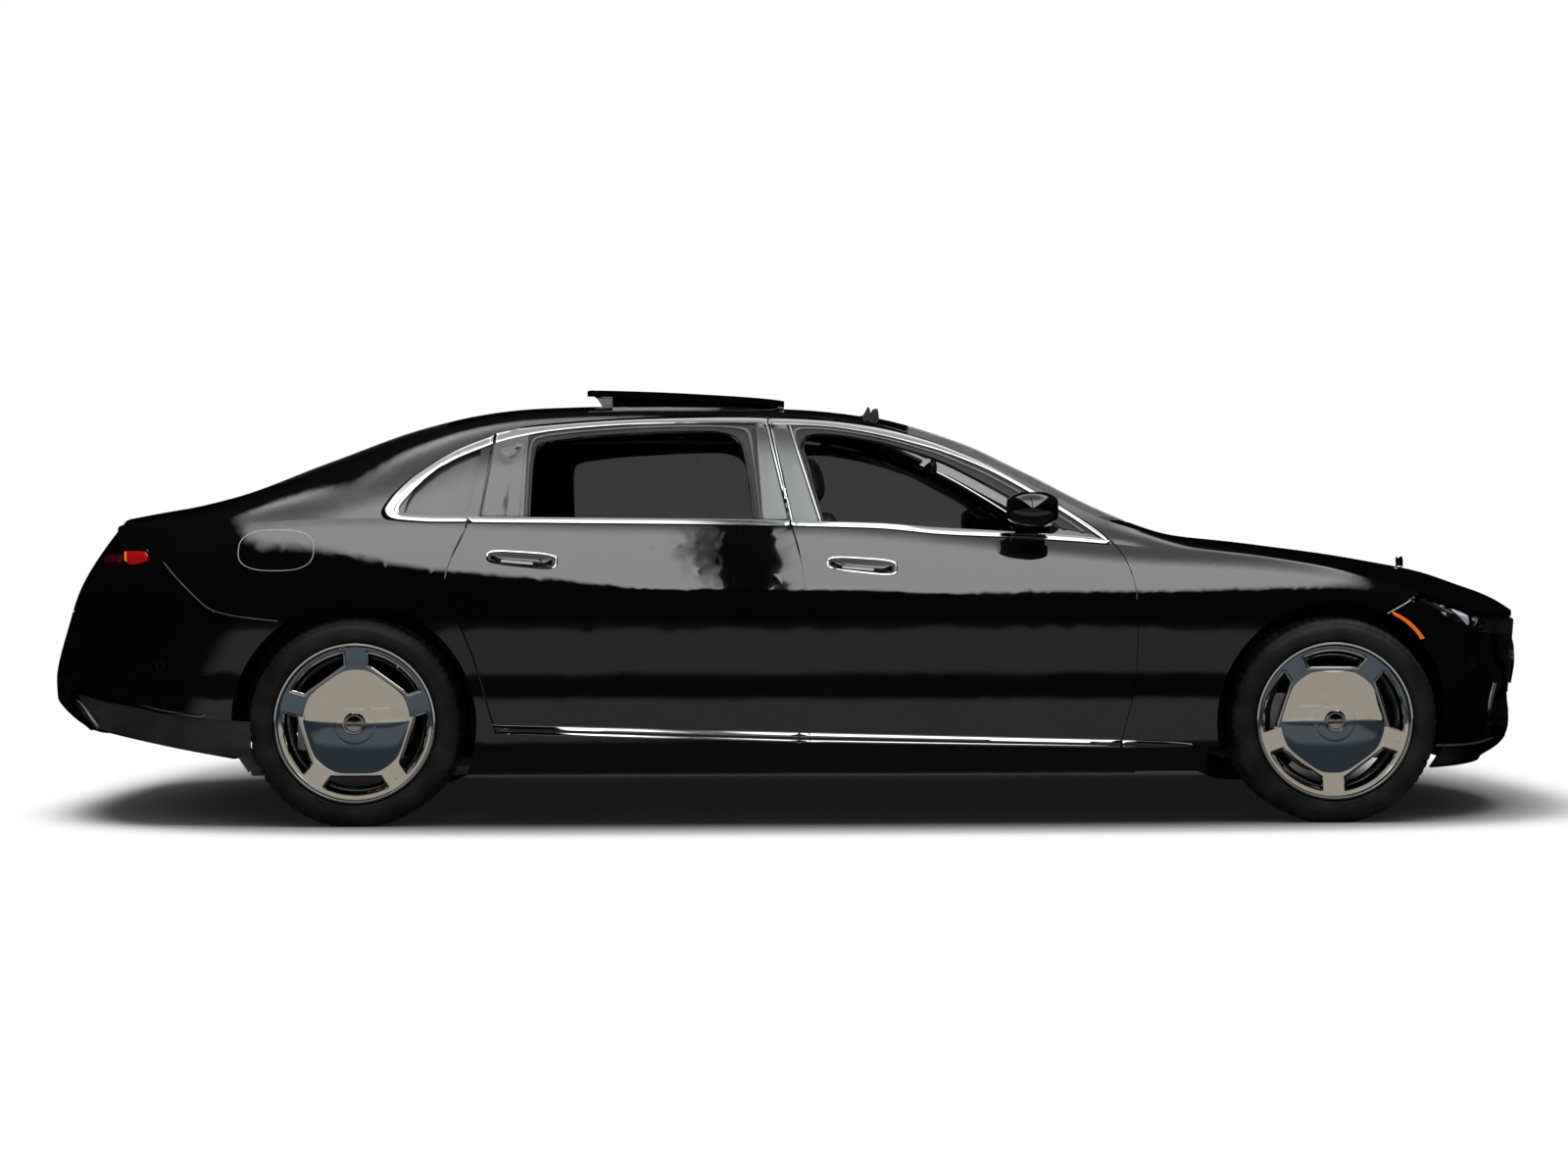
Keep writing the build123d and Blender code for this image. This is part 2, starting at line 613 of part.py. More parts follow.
def end_outline(front, level, grow=0.0):
    """Vertical prism of the nose's or the tail's outline at one height."""
    start, power = (NOSE_START, 2 / NOSE_ROUNDING) if front else (TAIL_START, 2 / TAIL_ROUNDING)
    end = nose_reach(level) + grow if front else -tail_reach(level) - grow
    points = []
    for k in range(13):
        turn = math.pi / 2 * k / 12
        x = start + (end - start) * math.sin(turn) ** power
        points.append((x, (half_width(x) + grow - side_inset(x, level)) * math.cos(turn) ** power))
    ring = points + [(x, -y) for x, y in points[-2::-1]]
    corners = [Vector(at(x), across(y), 0) for x, y in ring]
    far = at(600) if front else at(-1300)
    back = [Vector(far, corners[-1].Y, 0), Vector(far, corners[0].Y, 0)]
    wire = Wire([Edge.make_spline(corners), Edge.make_line(corners[-1], back[0]),
                 Edge.make_line(back[0], back[1]), Edge.make_line(back[1], corners[0])])
    return extrude(Face(wire), amount=2 * HEIGHT, dir=(0, 0, 1))


HOOD_TIP_LEVEL, DECK_TIP_LEVEL = 745.0, 1076.0


# ---- Skin panels ----
def make_hood():
    slab = top_slab(PANEL, 0, 860, 2600, inset=SHUT_GAP)
    hood = slab & plan_prism(HOOD_REAR, straight(2650)) & end_outline(True, HOOD_TIP_LEVEL)
    return solid_of(hood)


def under_hood():
    """Space that the hood and its clearance take, to cut from what lies below its edge."""
    return top_slab(PANEL + SHUT_GAP, 0, 860, 2600, reach=1.2)


def make_windshield():
    slab = top_slab(GLASS / math.cos(math.radians(27)), 0, 180, 1150, inset=10)
    return solid_of(slab & plan_prism(HEADER, GLASS_BASE))


def make_cowl():
    slab = top_slab(40, -4, 820, 1200, inset=8)
    return solid_of(slab & plan_prism(shifted(GLASS_BASE, SEAM / 2), shifted(HOOD_REAR, -SHUT_GAP)))


def make_roof():
    slab = top_slab(ROOF_PANEL, 0, -1500, 280, inset=SEAM)
    roof = slab & plan_prism(shifted(HEADER, -SEAM / 2), shifted(BACKLIGHT_TOP, SEAM / 2))
    for x0, x1 in ((SUNROOF_REAR, SUNROOF_FRONT), (ROOF_GLASS_REAR, ROOF_GLASS_FRONT)):
        roof = roof - block(at(x0), at(x1), -across(SUNROOF_HALF), across(SUNROOF_HALF), 0, 2 * HEIGHT)
    return solid_of(roof)


def make_roof_glass():
    slab = top_slab(GLASS + 3, 0, -1400, -600, inset=60)
    edge = SEAM / 2
    return solid_of(slab & block(at(ROOF_GLASS_REAR) + edge, at(ROOF_GLASS_FRONT) - edge,
                                 -across(SUNROOF_HALF) + edge, across(SUNROOF_HALF) - edge, 0, 2 * HEIGHT))


def make_sunroof_panel():
    """Sliding panel, parked raised and slid back, on two runners that stand on the roof."""
    front = at(SUNROOF_PARKED_FRONT)
    rear = front - SUNROOF_LENGTH
    half = across(SUNROOF_HALF) - 4
    wires = []
    count = 6
    for i in range(count + 1):
        share = i / count
        x = front + (rear - front) * share
        lift = SUNROOF_LIFT_FRONT + (SUNROOF_LIFT_REAR - SUNROOF_LIFT_FRONT) * share ** 0.7
        station = SUNROOF_PARKED_FRONT - SUNROOF_LENGTH * share
        rows = [half * (2 * k / 6 - 1) for k in range(7)]
        upper = [Vector(x, y, up(top_height(station, y)) + lift) for y in rows]
        lower = [p - Vector(0, 0, 20) for p in upper]
        wires.append(Wire([spline(upper), Edge.make_line(upper[-1], lower[-1]),
                           spline(lower[::-1]), Edge.make_line(lower[0], upper[0])]))
    panel = Solid.make_loft(wires)
    steps = 3 * count
    for hand in (RIGHT, LEFT):
        rail_y = hand * (half - 30)
        pieces = []
        for i in range(steps + 1):
            share = i / steps
            x = front - 30 + (rear - front + 120) * share
            station = SUNROOF_PARKED_FRONT - 30 - (SUNROOF_LENGTH - 120) * share
            lift = SUNROOF_LIFT_FRONT + (SUNROOF_LIFT_REAR - SUNROOF_LIFT_FRONT) * share ** 0.7
            low = [up(top_height(station, rail_y + side)) + RUNNER_GAP for side in (-9, 9)]
            high = min(low) + lift - 12
            pieces.append(Wire.make_polygon([Vector(x, rail_y - 9, low[0]), Vector(x, rail_y + 9, low[1]),
                                             Vector(x, rail_y + 9, high), Vector(x, rail_y - 9, high)],
                                            close=True))
        panel = panel + Solid.make_loft(pieces, ruled=True)
    return solid_of(panel)


def make_wind_deflector():
    """Low net frame that stands up at the front of the roof opening."""
    x0, x1 = at(SUNROOF_FRONT) - SEAT, at(SUNROOF_FRONT - 110)
    half = across(SUNROOF_HALF) - 12
    base = up(top_height(SUNROOF_FRONT, SUNROOF_HALF)) - 12
    crown = up(centre_height(SUNROOF_FRONT)) - 12
    side_face = Wire.make_polygon([Vector(x0, -half, base), Vector(x1, -half, base + 12),
                                   Vector(x0 - 6, -half, base + 50)], close=True)
    middle = Wire.make_polygon([Vector(x0, 0, crown), Vector(x1, 0, crown + 12),
                                Vector(x0 - 6, 0, crown + 50)], close=True)
    far = Wire.make_polygon([Vector(x0, half, base), Vector(x1, half, base + 12),
                             Vector(x0 - 6, half, base + 50)], close=True)
    whole = Solid.make_loft([side_face, middle, far])
    return solid_of(whole - block(x0 - 400, x0 - 14, -half + 14, half - 14, 0, 2 * HEIGHT))


def make_rear_window():
    slab = top_slab(GLASS / math.cos(math.radians(22)), 0, -2160, -1400, inset=10)
    return solid_of(slab & plan_prism(BACKLIGHT_TOP, BACKLIGHT_BASE))


def tail_skin(outer, inner):
    """Wall of the tail between two depths."""
    outside = end_block(False, outer, 215, 1120, 16, -1500)
    inside = end_block(False, inner, 205, 1130, 16, -1400)
    return outside - inside


def nose_skin(outer, inner):
    """Wall of the nose between two depths."""
    outside = end_block(True, outer, SILL_BOTTOM, 830, 14, 1500)
    inside = end_block(True, inner, SILL_BOTTOM - 10, 840, 14, 1400)
    return outside - inside


def lid_face(grow=0.0):
    half = LID_HALF_FACE + grow
    return face_prism([(-half, 1400), (-half - 34, 1000), (-half, LID_FLOOR - grow), (half, LID_FLOOR - grow),
                       (half + 34, 1000), (half, 1400)], -2300, -3100)


def make_boot_lid():
    top = top_slab(PANEL, 0, -2740, -2080, inset=SHUT_GAP)
    top = top & plan_prism(LID_FRONT, straight(-2800)) & end_outline(False, DECK_TIP_LEVEL)
    below = top_slab(400, -1, -2960, -2080, reach=1.5)
    face = tail_skin(0, PANEL) & lid_face() & below
    return solid_of(top + face)


def make_rear_bumper():
    skin = tail_skin(0, PANEL) & REAR_BUMPER.grown(-SEAM / 2).prism(-WIDE, WIDE)
    inside = end_block(False, PANEL / 2, 215, 1120, 16, -1500)
    pads = None
    for hand in (RIGHT, LEFT):
        pad = block(at(-3000), at(-2300), hand * 380, hand * 400, 600, LID_FLOOR + 1) & inside
        pads = pad if pads is None else pads + pad
    skin = skin - (lid_face(SHUT_GAP) - pads) - lid_face(SEAT)
    for hand in (RIGHT, LEFT):
        skin = skin - axle_cylinder(REAR_AXLE, ARCH_RADIUS, hand * 400, hand * WIDE)
    return solid_of(skin)


def make_tail_lamps():
    skin = tail_skin(0, LAMP_DEPTH) & TAIL_LAMP.grown(-SEAM / 2).prism(-WIDE, WIDE)
    skin = skin - lid_face(SHUT_GAP)
    return sorted(skin.solids(), key=lambda s: -s.volume)[:2]


def make_front_bumper():
    skin = nose_skin(0, PANEL) & FRONT_BUMPER.grown(-SEAM / 2).prism(-WIDE, WIDE)
    skin = skin - face_prism(grille_outline(SEAM / 2), 2000, 2800)
    skin = skin - face_prism([(-440, 262), (-400, 352), (400, 352), (440, 262)], 2000, 2800)
    for hand in (RIGHT, LEFT):
        skin = skin - axle_cylinder(FRONT_AXLE, ARCH_RADIUS, hand * 400, hand * WIDE)
    return solid_of(skin - under_hood())


def grille_outline(grow=0.0):
    t, b = GRILLE_HALF_TOP + grow, GRILLE_HALF_BOTTOM + grow
    high, low = GRILLE_TOP + grow, GRILLE_BOTTOM - grow
    return [(-t, high), (t, high), (b, low), (-b, low)]


def nose_face(y, z):
    """Place along the car of the nose's skin at a point of its front view."""
    share = min(1.0, abs(y) / half_width(NOSE_START))
    return at(NOSE_START + (nose_reach(z) - NOSE_START) * math.sqrt(1 - share ** 2))


def make_grille():
    """Upright grille: a frame and a back panel that follow the nose, and upright bars."""
    frame = nose_skin(-4, 52) & face_prism(grille_outline(-SEAM / 2), 2000, 2800)
    pocket = end_block(True, 44, SILL_BOTTOM, 830, 14, 1500)
    hole = face_prism(grille_outline(-24), 2000, 2800)
    grille = frame - (hole - pocket)
    span = 2 * (GRILLE_HALF_TOP - 24)
    for i in range(GRILLE_BARS):
        y = -span / 2 + span * (i + 0.5) / GRILLE_BARS
        reach = nose_face(y, (GRILLE_TOP + GRILLE_BOTTOM) / 2) - 14
        bar = block(reach - 26, reach, across(y) - 4, across(y) + 4, GRILLE_BOTTOM + 22, GRILLE_TOP - 40)
        grille = grille + bar
    return solid_of(grille - under_hood())


def make_headlamps():
    skin = nose_skin(0, LAMP_DEPTH) & HEADLAMP.grown(-SEAM / 2).prism(-WIDE, WIDE)
    t, b = GRILLE_HALF_TOP + 8, GRILLE_HALF_BOTTOM + 8
    skin = skin - face_prism([(-t, 1000), (t, 1000), (t, GRILLE_TOP), (b, GRILLE_BOTTOM),
                              (-b, GRILLE_BOTTOM), (-t, GRILLE_TOP)], 1800, 2900)
    skin = skin - under_hood()
    return sorted(skin.solids(), key=lambda s: -s.volume)[:2]


def make_fender(hand):
    skin = side_band(0, PANEL, hand, first=880) & FENDER.grown(-SEAM / 2).prism(0, hand * WIDE)
    skin = skin - axle_cylinder(FRONT_AXLE, ARCH_RADIUS, hand * 400, hand * WIDE)
    return solid_of(skin)


SIDE_FRONT = 1100.0         # front end of the body side, at the hinge pillar
SILL_FRONT = 1249.0         # front end of the sill, under the fender
BUFFER_SIZE = 16.0
DOOR_BUFFERS = [(-120, 600), (-1232, 470)]   # rubber buffers behind the latch edge of each door


def make_body_side(hand):
    """Sill, pillars, roof rail and rear quarter in one piece, open where the doors close."""
    keep = block(at(-3200), at(SIDE_FRONT), 0, hand * WIDE, 0, 2 * HEIGHT)
    keep = keep + block(at(SIDE_FRONT) - 1, at(SILL_FRONT), 0, hand * WIDE, 0, up(FENDER_SILL) - SEAM)
    whole = side_band(0, door_depth, hand, last=1300) & keep
    outer = side_band(-30, SKIN + SHUT_GAP, hand, last=1120, upright=False)
    fender_bed = side_band(-30, PANEL + SEAM, hand, first=600, last=1200, upright=False)
    for door in (FRONT_DOOR, REAR_DOOR):
        face = door.grown(SHUT_GAP / 2)
        hole = door.grown(-DOOR_FLANGE + 13)
        whole = whole - (outer & face.prism(0, hand * WIDE)) - hole.prism(0, hand * WIDE)
    whole = whole - (fender_bed & FENDER.grown(SEAM / 2).prism(0, hand * WIDE))
    whole = whole - REAR_BUMPER.grown(SEAM / 2).prism(0, hand * WIDE)
    whole = whole - TAIL_LAMP.grown(SEAM / 2).prism(0, hand * WIDE)
    whole = whole - QUARTER_HOLE.prism(0, hand * WIDE)
    for axle in (FRONT_AXLE, REAR_AXLE):
        whole = whole - axle_cylinder(axle, ARCH_RADIUS, hand * 300, hand * WIDE)
    whole = whole - lid_face(SHUT_GAP)
    pads = side_band(SKIN + SEAT, SKIN + SHUT_GAP + 8, hand)
    for x, z in DOOR_BUFFERS:
        size = BUFFER_SIZE / 2
        whole = whole + (pads & block(at(x) - size, at(x) + size, 0, hand * WIDE, up(z) - size, up(z) + size))
    return solid_of(whole)


# ---- Wheels ----
def wheel_plane(front):
    """Distance of the wheel's middle plane from the centre plane."""
    width = TYRE_WIDTH_FRONT if front else TYRE_WIDTH_REAR
    return BODY_WIDTH / 2 - TYRE_OUTER_INSET - width / 2


def turned(points, x, y, hand):
    """Solid turned about a wheel's axis from (radius, outboard) points."""
    corners = [Vector(x + r, y + hand * out, WHEEL_HEIGHT) for r, out in points]
    face = Face(Wire.make_polygon(corners, close=True))
    return revolve(face, axis=Axis((x, y, WHEEL_HEIGHT), (0, 1, 0)), revolution_arc=360)


BEAD_INSET = 30.0           # tyre bead inboard of the sidewall's widest point


def make_tyre(front, hand):
    half = (TYRE_WIDTH_FRONT if front else TYRE_WIDTH_REAR) / 2
    r0, r1 = RIM_RADIUS - 16, TYRE_RADIUS
    x, y = (FRONT_AXLE if front else REAR_AXLE), hand * wheel_plane(front)
    outer = [(r0, half - BEAD_INSET), (RIM_RADIUS + 2, half - BEAD_INSET), (RIM_RADIUS + 7, half - 13),
             (RIM_RADIUS + 30, half), (r1 - 34, half - 3), (r1 - 8, half - 18), (r1, half - 40)]
    profile = outer + [(radius, -out) for radius, out in outer[::-1]]
    tyre = turned(profile, x, y, hand)
    return solid_of(tyre & block(x - 500, x + 500, y - half, y + half, 0, 2000))


SPOKES = 5
SPOKE_HALF_ANGLE = 15.0
SLOT_INNER, SLOT_OUTER = 0.66, 0.93


def make_wheel(front, hand):
    """Dished one-piece wheel with five slots, its hub and its brake disc."""
    half = (TYRE_WIDTH_FRONT if front else TYRE_WIDTH_REAR) / 2
    x, y = (FRONT_AXLE if front else REAR_AXLE), hand * wheel_plane(front)
    lip = half - 14
    r = RIM_RADIUS
    barrel = [(r - 26, -half + 22), (r - 17, -half + 22), (r - 17, lip - 12), (r, lip - 9), (r, lip - 2),
              (r - 14, lip), (r - 34, lip - 12), (r - 34, lip - 60), (r - 26, lip - 90)]
    rim = turned(barrel, x, y, hand)
    dish = [(0, lip - 34), (0, lip - 2), (60, lip - 4), (120, lip - 9), (165, lip - 17), (172, lip - 22),
            (200, lip - 20), (r - 20, lip - 8), (r - 24, lip - 30), (180, lip - 42), (120, lip - 40)]
    disc = turned(dish, x, y, hand)
    slots = None
    for i in range(SPOKES):
        middle = 360.0 / SPOKES * i + (90.0 if front else 270.0)
        span = 180.0 / SPOKES - SPOKE_HALF_ANGLE / 2 - 6
        a0, a1 = math.radians(middle - span), math.radians(middle + span)
        pts = []
        for radius, first, last in ((SLOT_INNER * r, a0, a1), (SLOT_OUTER * r, a1, a0)):
            for k in range(5):
                a = first + (last - first) * k / 4
                pts.append(Vector(x + radius * math.cos(a), y + hand * (lip - 120),
                                  WHEEL_HEIGHT + radius * math.sin(a)))
        wire = Wire([Edge.make_spline(pts[:5]), Edge.make_line(pts[4], pts[5]), Edge.make_spline(pts[5:]),
                     Edge.make_line(pts[9], pts[0])])
        slot = extrude(Face(wire), amount=180, dir=(0, hand, 0))
        slots = slot if slots is None else slots + slot
    disc = disc - slots
    hub_in = lip - 34 - 96
    hub = axle_cylinder(x, 72, y + hand * hub_in, y + hand * (lip - 30))
    brake_radius = DISC_RADIUS_FRONT if front else DISC_RADIUS_REAR
    brake = axle_cylinder(x, brake_radius, y + hand * hub_in, y + hand * (hub_in + DISC_THICKNESS))
    return solid_of(rim + disc + hub + brake)


def hub_inner(front, hand):
    """Y of the inner face of a wheel's hub and disc."""
    half = (TYRE_WIDTH_FRONT if front else TYRE_WIDTH_REAR) / 2
    return hand * (wheel_plane(front) + half - 14 - 34 - 96)


def caliper(x, y_disc, radius, hand, behind):
    """Fixed caliper astride the disc, behind or ahead of the axle."""
    way = -1 if behind else 1
    clear = 4.0
    y0, y1 = y_disc - hand * 34, y_disc + hand * (DISC_THICKNESS + 34)
    body = block(x + way * (radius - 62), x + way * (radius + 22), y0, y1,
                 WHEEL_HEIGHT - 95, WHEEL_HEIGHT + 95)
    room = axle_cylinder(x, radius + clear, y_disc - hand * clear, y_disc + hand * (DISC_THICKNESS + clear))
    keep = axle_cylinder(x, RIM_RADIUS - 46, y0, y1)
    return solid_of((body & keep) - room)


HUB_GAP = 0.5
KNUCKLE_HALF = 128.0        # half height of the upright


def make_knuckle(front, hand):
    """Upright with the wheel's spindle, the steering arm and the brake caliper."""
    x = FRONT_AXLE if front else REAR_AXLE
    inner = hub_inner(front, hand)
    radius = DISC_RADIUS_FRONT if front else DISC_RADIUS_REAR
    pin = hand * (wheel_plane(front) - KINGPIN_INSET)
    face = inner - hand * HUB_GAP
    upright = block(x - 34, x + 34, face, pin - hand * 26, WHEEL_HEIGHT - KNUCKLE_HALF,
                    WHEEL_HEIGHT + KNUCKLE_HALF)
    bearing = axle_cylinder(x, 62, face, pin - hand * 34)
    arm = block(x - 150, x, face - hand * 4, face - hand * 30, WHEEL_HEIGHT - 62, WHEEL_HEIGHT - 30)
    carrier = block(x - radius - 8, x - 20, face - hand * 4, face - hand * 28,
                    WHEEL_HEIGHT - 60, WHEEL_HEIGHT + 60)
    return solid_of(upright + bearing + arm + carrier + caliper(x, inner, radius, hand, True))


# ---- Structure, running gear and cabin ----
FLOOR_BOTTOM, FLOOR_TOP = 180.0, 212.0
FLOOR_HALF = 770.0
WALL = 30.0
CABIN_FRONT, CABIN_REAR = 1130.0, -1420.0
BOOT_FLOOR = 470.0
BOOT_REAR = -2760.0
SHELF_HEIGHT = 1010.0
RAIL_HALF, RAIL_SIZE = 430.0, 74.0
REAR_RAIL_DEPTH = 56.0
HOUSING_WALL = 4.0


JACK_SIZE, JACK_DEPTH, JACK_Y = 64.0, 10.0, 700.0
HOOD_HINGE = (at(886), 0.0, up(1085))
LID_HINGE = (at(-2102), 0.0, up(1224))
FRONT_DOOR_HINGE = (at(1012), across(959), 600.0)
REAR_DOOR_HINGE = (at(-130), across(962), 600.0)


def jack_station(front):
    return at(1090) if front else at(-1090)


def make_floor():
    """Floor, firewall, rear bulkhead, boot floor and shelf: the pressed shell inside the skin."""
    half = across(FLOOR_HALF)
    floor = block(at(-1230), at(1230), -half, half, FLOOR_BOTTOM, FLOOR_TOP)
    firewall = block(at(CABIN_FRONT), at(CABIN_FRONT) + WALL, -half + 20, half - 20, FLOOR_BOTTOM, up(935))
    firewall = firewall - axle_cylinder(FRONT_AXLE, LINER_RADIUS + 8, -WIDE, WIDE)
    bulkhead = block(at(CABIN_REAR) - WALL, at(CABIN_REAR), -half + 170, half - 170,
                     FLOOR_BOTTOM, up(SHELF_HEIGHT))
    heel = block(at(-1228), at(CABIN_REAR) - WALL, -half + 170, half - 170, FLOOR_BOTTOM, FLOOR_TOP)
    boot = block(at(BOOT_REAR), at(CABIN_REAR) - WALL + 1, -across(560), across(560),
                 BOOT_FLOOR - WALL, BOOT_FLOOR)
    shelf = block(at(-2040), at(CABIN_REAR) - WALL + 1, -across(600), across(600),
                  up(SHELF_HEIGHT) - 24, up(SHELF_HEIGHT))
    tail = block(at(BOOT_REAR), at(BOOT_REAR) + WALL, -across(560), across(560),
                 BOOT_FLOOR - WALL, LID_FLOOR - 30)
    inside = end_block(False, PANEL + SEAT, 205, 1130, 16, -1400)
    shell = floor + firewall + heel + bulkhead + shelf + (boot & inside) + (tail & inside)
    for hand in (RIGHT, LEFT):
        for front in (True, False):
            x, size = jack_station(front), JACK_SIZE / 2
            shell = shell + block(x - size, x + size, hand * JACK_Y - size, hand * JACK_Y + size,
                                  FLOOR_BOTTOM - JACK_DEPTH, FLOOR_BOTTOM + 1)
        rail_y = hand * RAIL_HALF
        rail = block(at(2330), at(CABIN_FRONT) + WALL - 1, rail_y - RAIL_SIZE / 2, rail_y + RAIL_SIZE / 2,
                     400, 400 + RAIL_SIZE)
        rear_rail = block(at(BOOT_REAR), at(CABIN_REAR) - WALL + 1, rail_y - 36, rail_y + 36,
                          BOOT_FLOOR - WALL - REAR_RAIL_DEPTH, BOOT_FLOOR - WALL + 1)
        shell = shell + rail + (rear_rail & inside)
    nose = end_block(True, PANEL + SEAT, SILL_BOTTOM - 10, 840, 14, 1400)
    beam = block(at(2330), at(2600), -468, 468, 380, 500) & nose
    beam = beam - face_prism(grille_outline(SEAT), 2380, 2800)
    panel = block(at(2330), at(2360), -430, 430, 240, 690)
    shell = shell + beam + panel
    for hand in (RIGHT, LEFT):
        height = up(top_height(2350, 320)) - PANEL - SEAT
        shell = shell + block(at(2330), at(2350), hand * 300, hand * 320, 680, height)
    return solid_of(shell)


def make_wheel_housing(front, hand):
    """Half-round liner over a wheel with its inner wall."""
    x = FRONT_AXLE if front else REAR_AXLE
    inner = RAIL_HALF + RAIL_SIZE / 2 + 0.5 if front else across(FLOOR_HALF) - 170 + SEAT
    outer = across(764) if front else across(side(-STD_AXLE, WIDEST)) - DOOR_DEPTH - 24
    radius = LINER_RADIUS
    shell = axle_cylinder(x, radius, hand * inner, hand * outer)
    room = axle_cylinder(x, radius - HOUSING_WALL, hand * (inner + HOUSING_WALL), hand * (outer + 10))
    shell = shell - room
    keep = block(x - radius, x + radius, hand * (inner - 1), hand * (outer + 20), 215 if front else 300, 2000)
    window = block(x - 110, x + 110, hand * (inner - 1), hand * (inner + HOUSING_WALL + 1),
                   100, WHEEL_HEIGHT + 190)
    return solid_of((shell & keep) - window)


def make_front_subframe():
    """Cross members under the engine with the lower arms, upper arms and struts of both front wheels."""
    x = FRONT_AXLE
    low = WHEEL_HEIGHT - 146
    frame = block(x - 260, x + 260, -360, 360, low - 22, low + 40)
    frame = frame - block(x - 190, x + 190, -290, 290, 0, 900)
    frame = frame + block(x - 300, x - 240, -RAIL_HALF - 20, RAIL_HALF + 20, low - 22, low + 40)
    frame = frame + block(x + 240, x + 300, -RAIL_HALF - 20, RAIL_HALF + 20, low - 22, low + 40)
    pin = wheel_plane(True) - KINGPIN_INSET
    for hand in (RIGHT, LEFT):
        for post in (x - 270, x + 270):
            frame = frame + block(post - 30, post + 30, hand * (RAIL_HALF - 36), hand * (RAIL_HALF + 20),
                                  low, 399.7)
        arm = WHEEL_HEIGHT - KNUCKLE_HALF - SEAT
        frame = frame + block(x - 26, x + 26, hand * 340, hand * (pin + 16), arm - 24, arm)
        arm = WHEEL_HEIGHT + KNUCKLE_HALF + SEAT
        frame = frame + block(x - 26, x + 26, hand * 470, hand * (pin + 16), arm, arm + 20)
        frame = frame + rod((x, hand * 560, low), (x, hand * 560, arm + 4), 30)
        frame = frame + block(x - 26, x + 26, hand * 470, hand * 506, low, WHEEL_HEIGHT + 152)
    return solid_of(frame)


def make_rear_subframe():
    """Rear cross members, final drive, drive shafts and arms up to the rear knuckles."""
    x = REAR_AXLE
    low = WHEEL_HEIGHT - 146
    frame = block(x - 280, x + 230, -400, 400, low - 10, low + 50) - block(x - 215, x + 175, -330, 330, 0, 900)
    frame = frame + block(x - 280, x + 230, -60, 60, low - 10, low + 50)
    frame = frame + block(x - 130, x + 170, -120, 120, low + 20, WHEEL_HEIGHT + 80)
    pin = wheel_plane(False) - KINGPIN_INSET
    for hand in (RIGHT, LEFT):
        for post in (x - 245, x + 200):
            frame = frame + block(post - 30, post + 30, hand * 394, hand * 460, low,
                                  BOOT_FLOOR - WALL - REAR_RAIL_DEPTH - SEAT)
            frame = frame + block(post - 30, post + 30, hand * 330, hand * 460, low, low + 40)
        frame = frame + rod((x, hand * 110, WHEEL_HEIGHT), (x, hand * (pin - 40), WHEEL_HEIGHT), 22)
        arm = WHEEL_HEIGHT - KNUCKLE_HALF - SEAT
        frame = frame + block(x - 26, x + 26, hand * 380, hand * (pin + 16), arm - 22, arm)
    return solid_of(frame)


ENGINE_FRONT, ENGINE_REAR = 2180.0, 1330.0


def make_engine():
    """Engine as one plain block, on mounts that stand on the subframe."""
    low = WHEEL_HEIGHT - 106
    body = block(at(ENGINE_REAR), at(ENGINE_FRONT), -250, 250, low + 46, 820)
    for hand in (RIGHT, LEFT):
        body = body + block(FRONT_AXLE - 40, FRONT_AXLE + 40, hand * 240, hand * 330, low + 60, low + 110)
        body = body + block(FRONT_AXLE - 40, FRONT_AXLE + 40, hand * 292, hand * 330, low + 0.3, low + 61)
    return solid_of(body)


def make_exhaust(hand):
    """Pipe under the floor, rear silencer and tail pipe of one side."""
    y = hand * 250
    z, radius = 146.0, 30.0
    pipe = rod((at(1100), y, z), (at(-2200), y, z), radius)
    for station in (900, -300, -1150):
        pipe = pipe + block(at(station) - 20, at(station) + 20, y - 12, y + 12, z, FLOOR_BOTTOM - 0.3)
    rise = rod((at(-2190), y, z), (at(-2320), y, 337), radius)
    box = block(at(-2540), at(-2260), y - hand * 60, y + hand * 250, 296, 378)
    tip = rod((at(-2530), y + hand * 190, 337), (at(-2600), y + hand * 190, 337), radius)
    hanger = block(at(-2470), at(-2440), y - 10, y + 10, 370, BOOT_FLOOR - WALL - 0.3)
    return solid_of(pipe + rise + box + tip + hanger)


SEAT_WIDTH, CUSHION_LENGTH, CUSHION_DEPTH = 520.0, 520.0, 170.0
BACK_LENGTH, BACK_DEPTH = 640.0, 150.0
FRONT_SEAT_HIP, REAR_SEAT_HIP = 60.0, -1060.0
SEAT_SPACING = 385.0
CUSHION_TOP = 560.0


def make_seat(hip, hand, recline):
    """Cushion on its base, backrest and headrest, as one upholstered piece."""
    y = hand * SEAT_SPACING
    x = at(hip)
    low = CUSHION_TOP - CUSHION_DEPTH
    base = block(x - 40, x + CUSHION_LENGTH - 60, y - 200, y + 200, FLOOR_TOP + 0.3, low + 20)
    cushion = block(x - 60, x + CUSHION_LENGTH, y - SEAT_WIDTH / 2, y + SEAT_WIDTH / 2, low, CUSHION_TOP)
    cushion = fillet(cushion.edges(), 40)
    back = Box(BACK_DEPTH, SEAT_WIDTH, BACK_LENGTH)
    back = Pos(0, 0, BACK_LENGTH / 2 - 60) * back
    back = fillet(back.edges(), 44)
    head = Pos(6, 0, BACK_LENGTH + 62) * Box(96, 270, 170)
    head = fillet(head.edges(), 34)
    stem = Pos(0, 0, BACK_LENGTH - 40) * Box(24, 120, 110)
    upper = Pos(x - 20, y, CUSHION_TOP - 30) * Rot(0, -recline, 0) * (back + head + stem)
    return solid_of(base + cushion + upper)


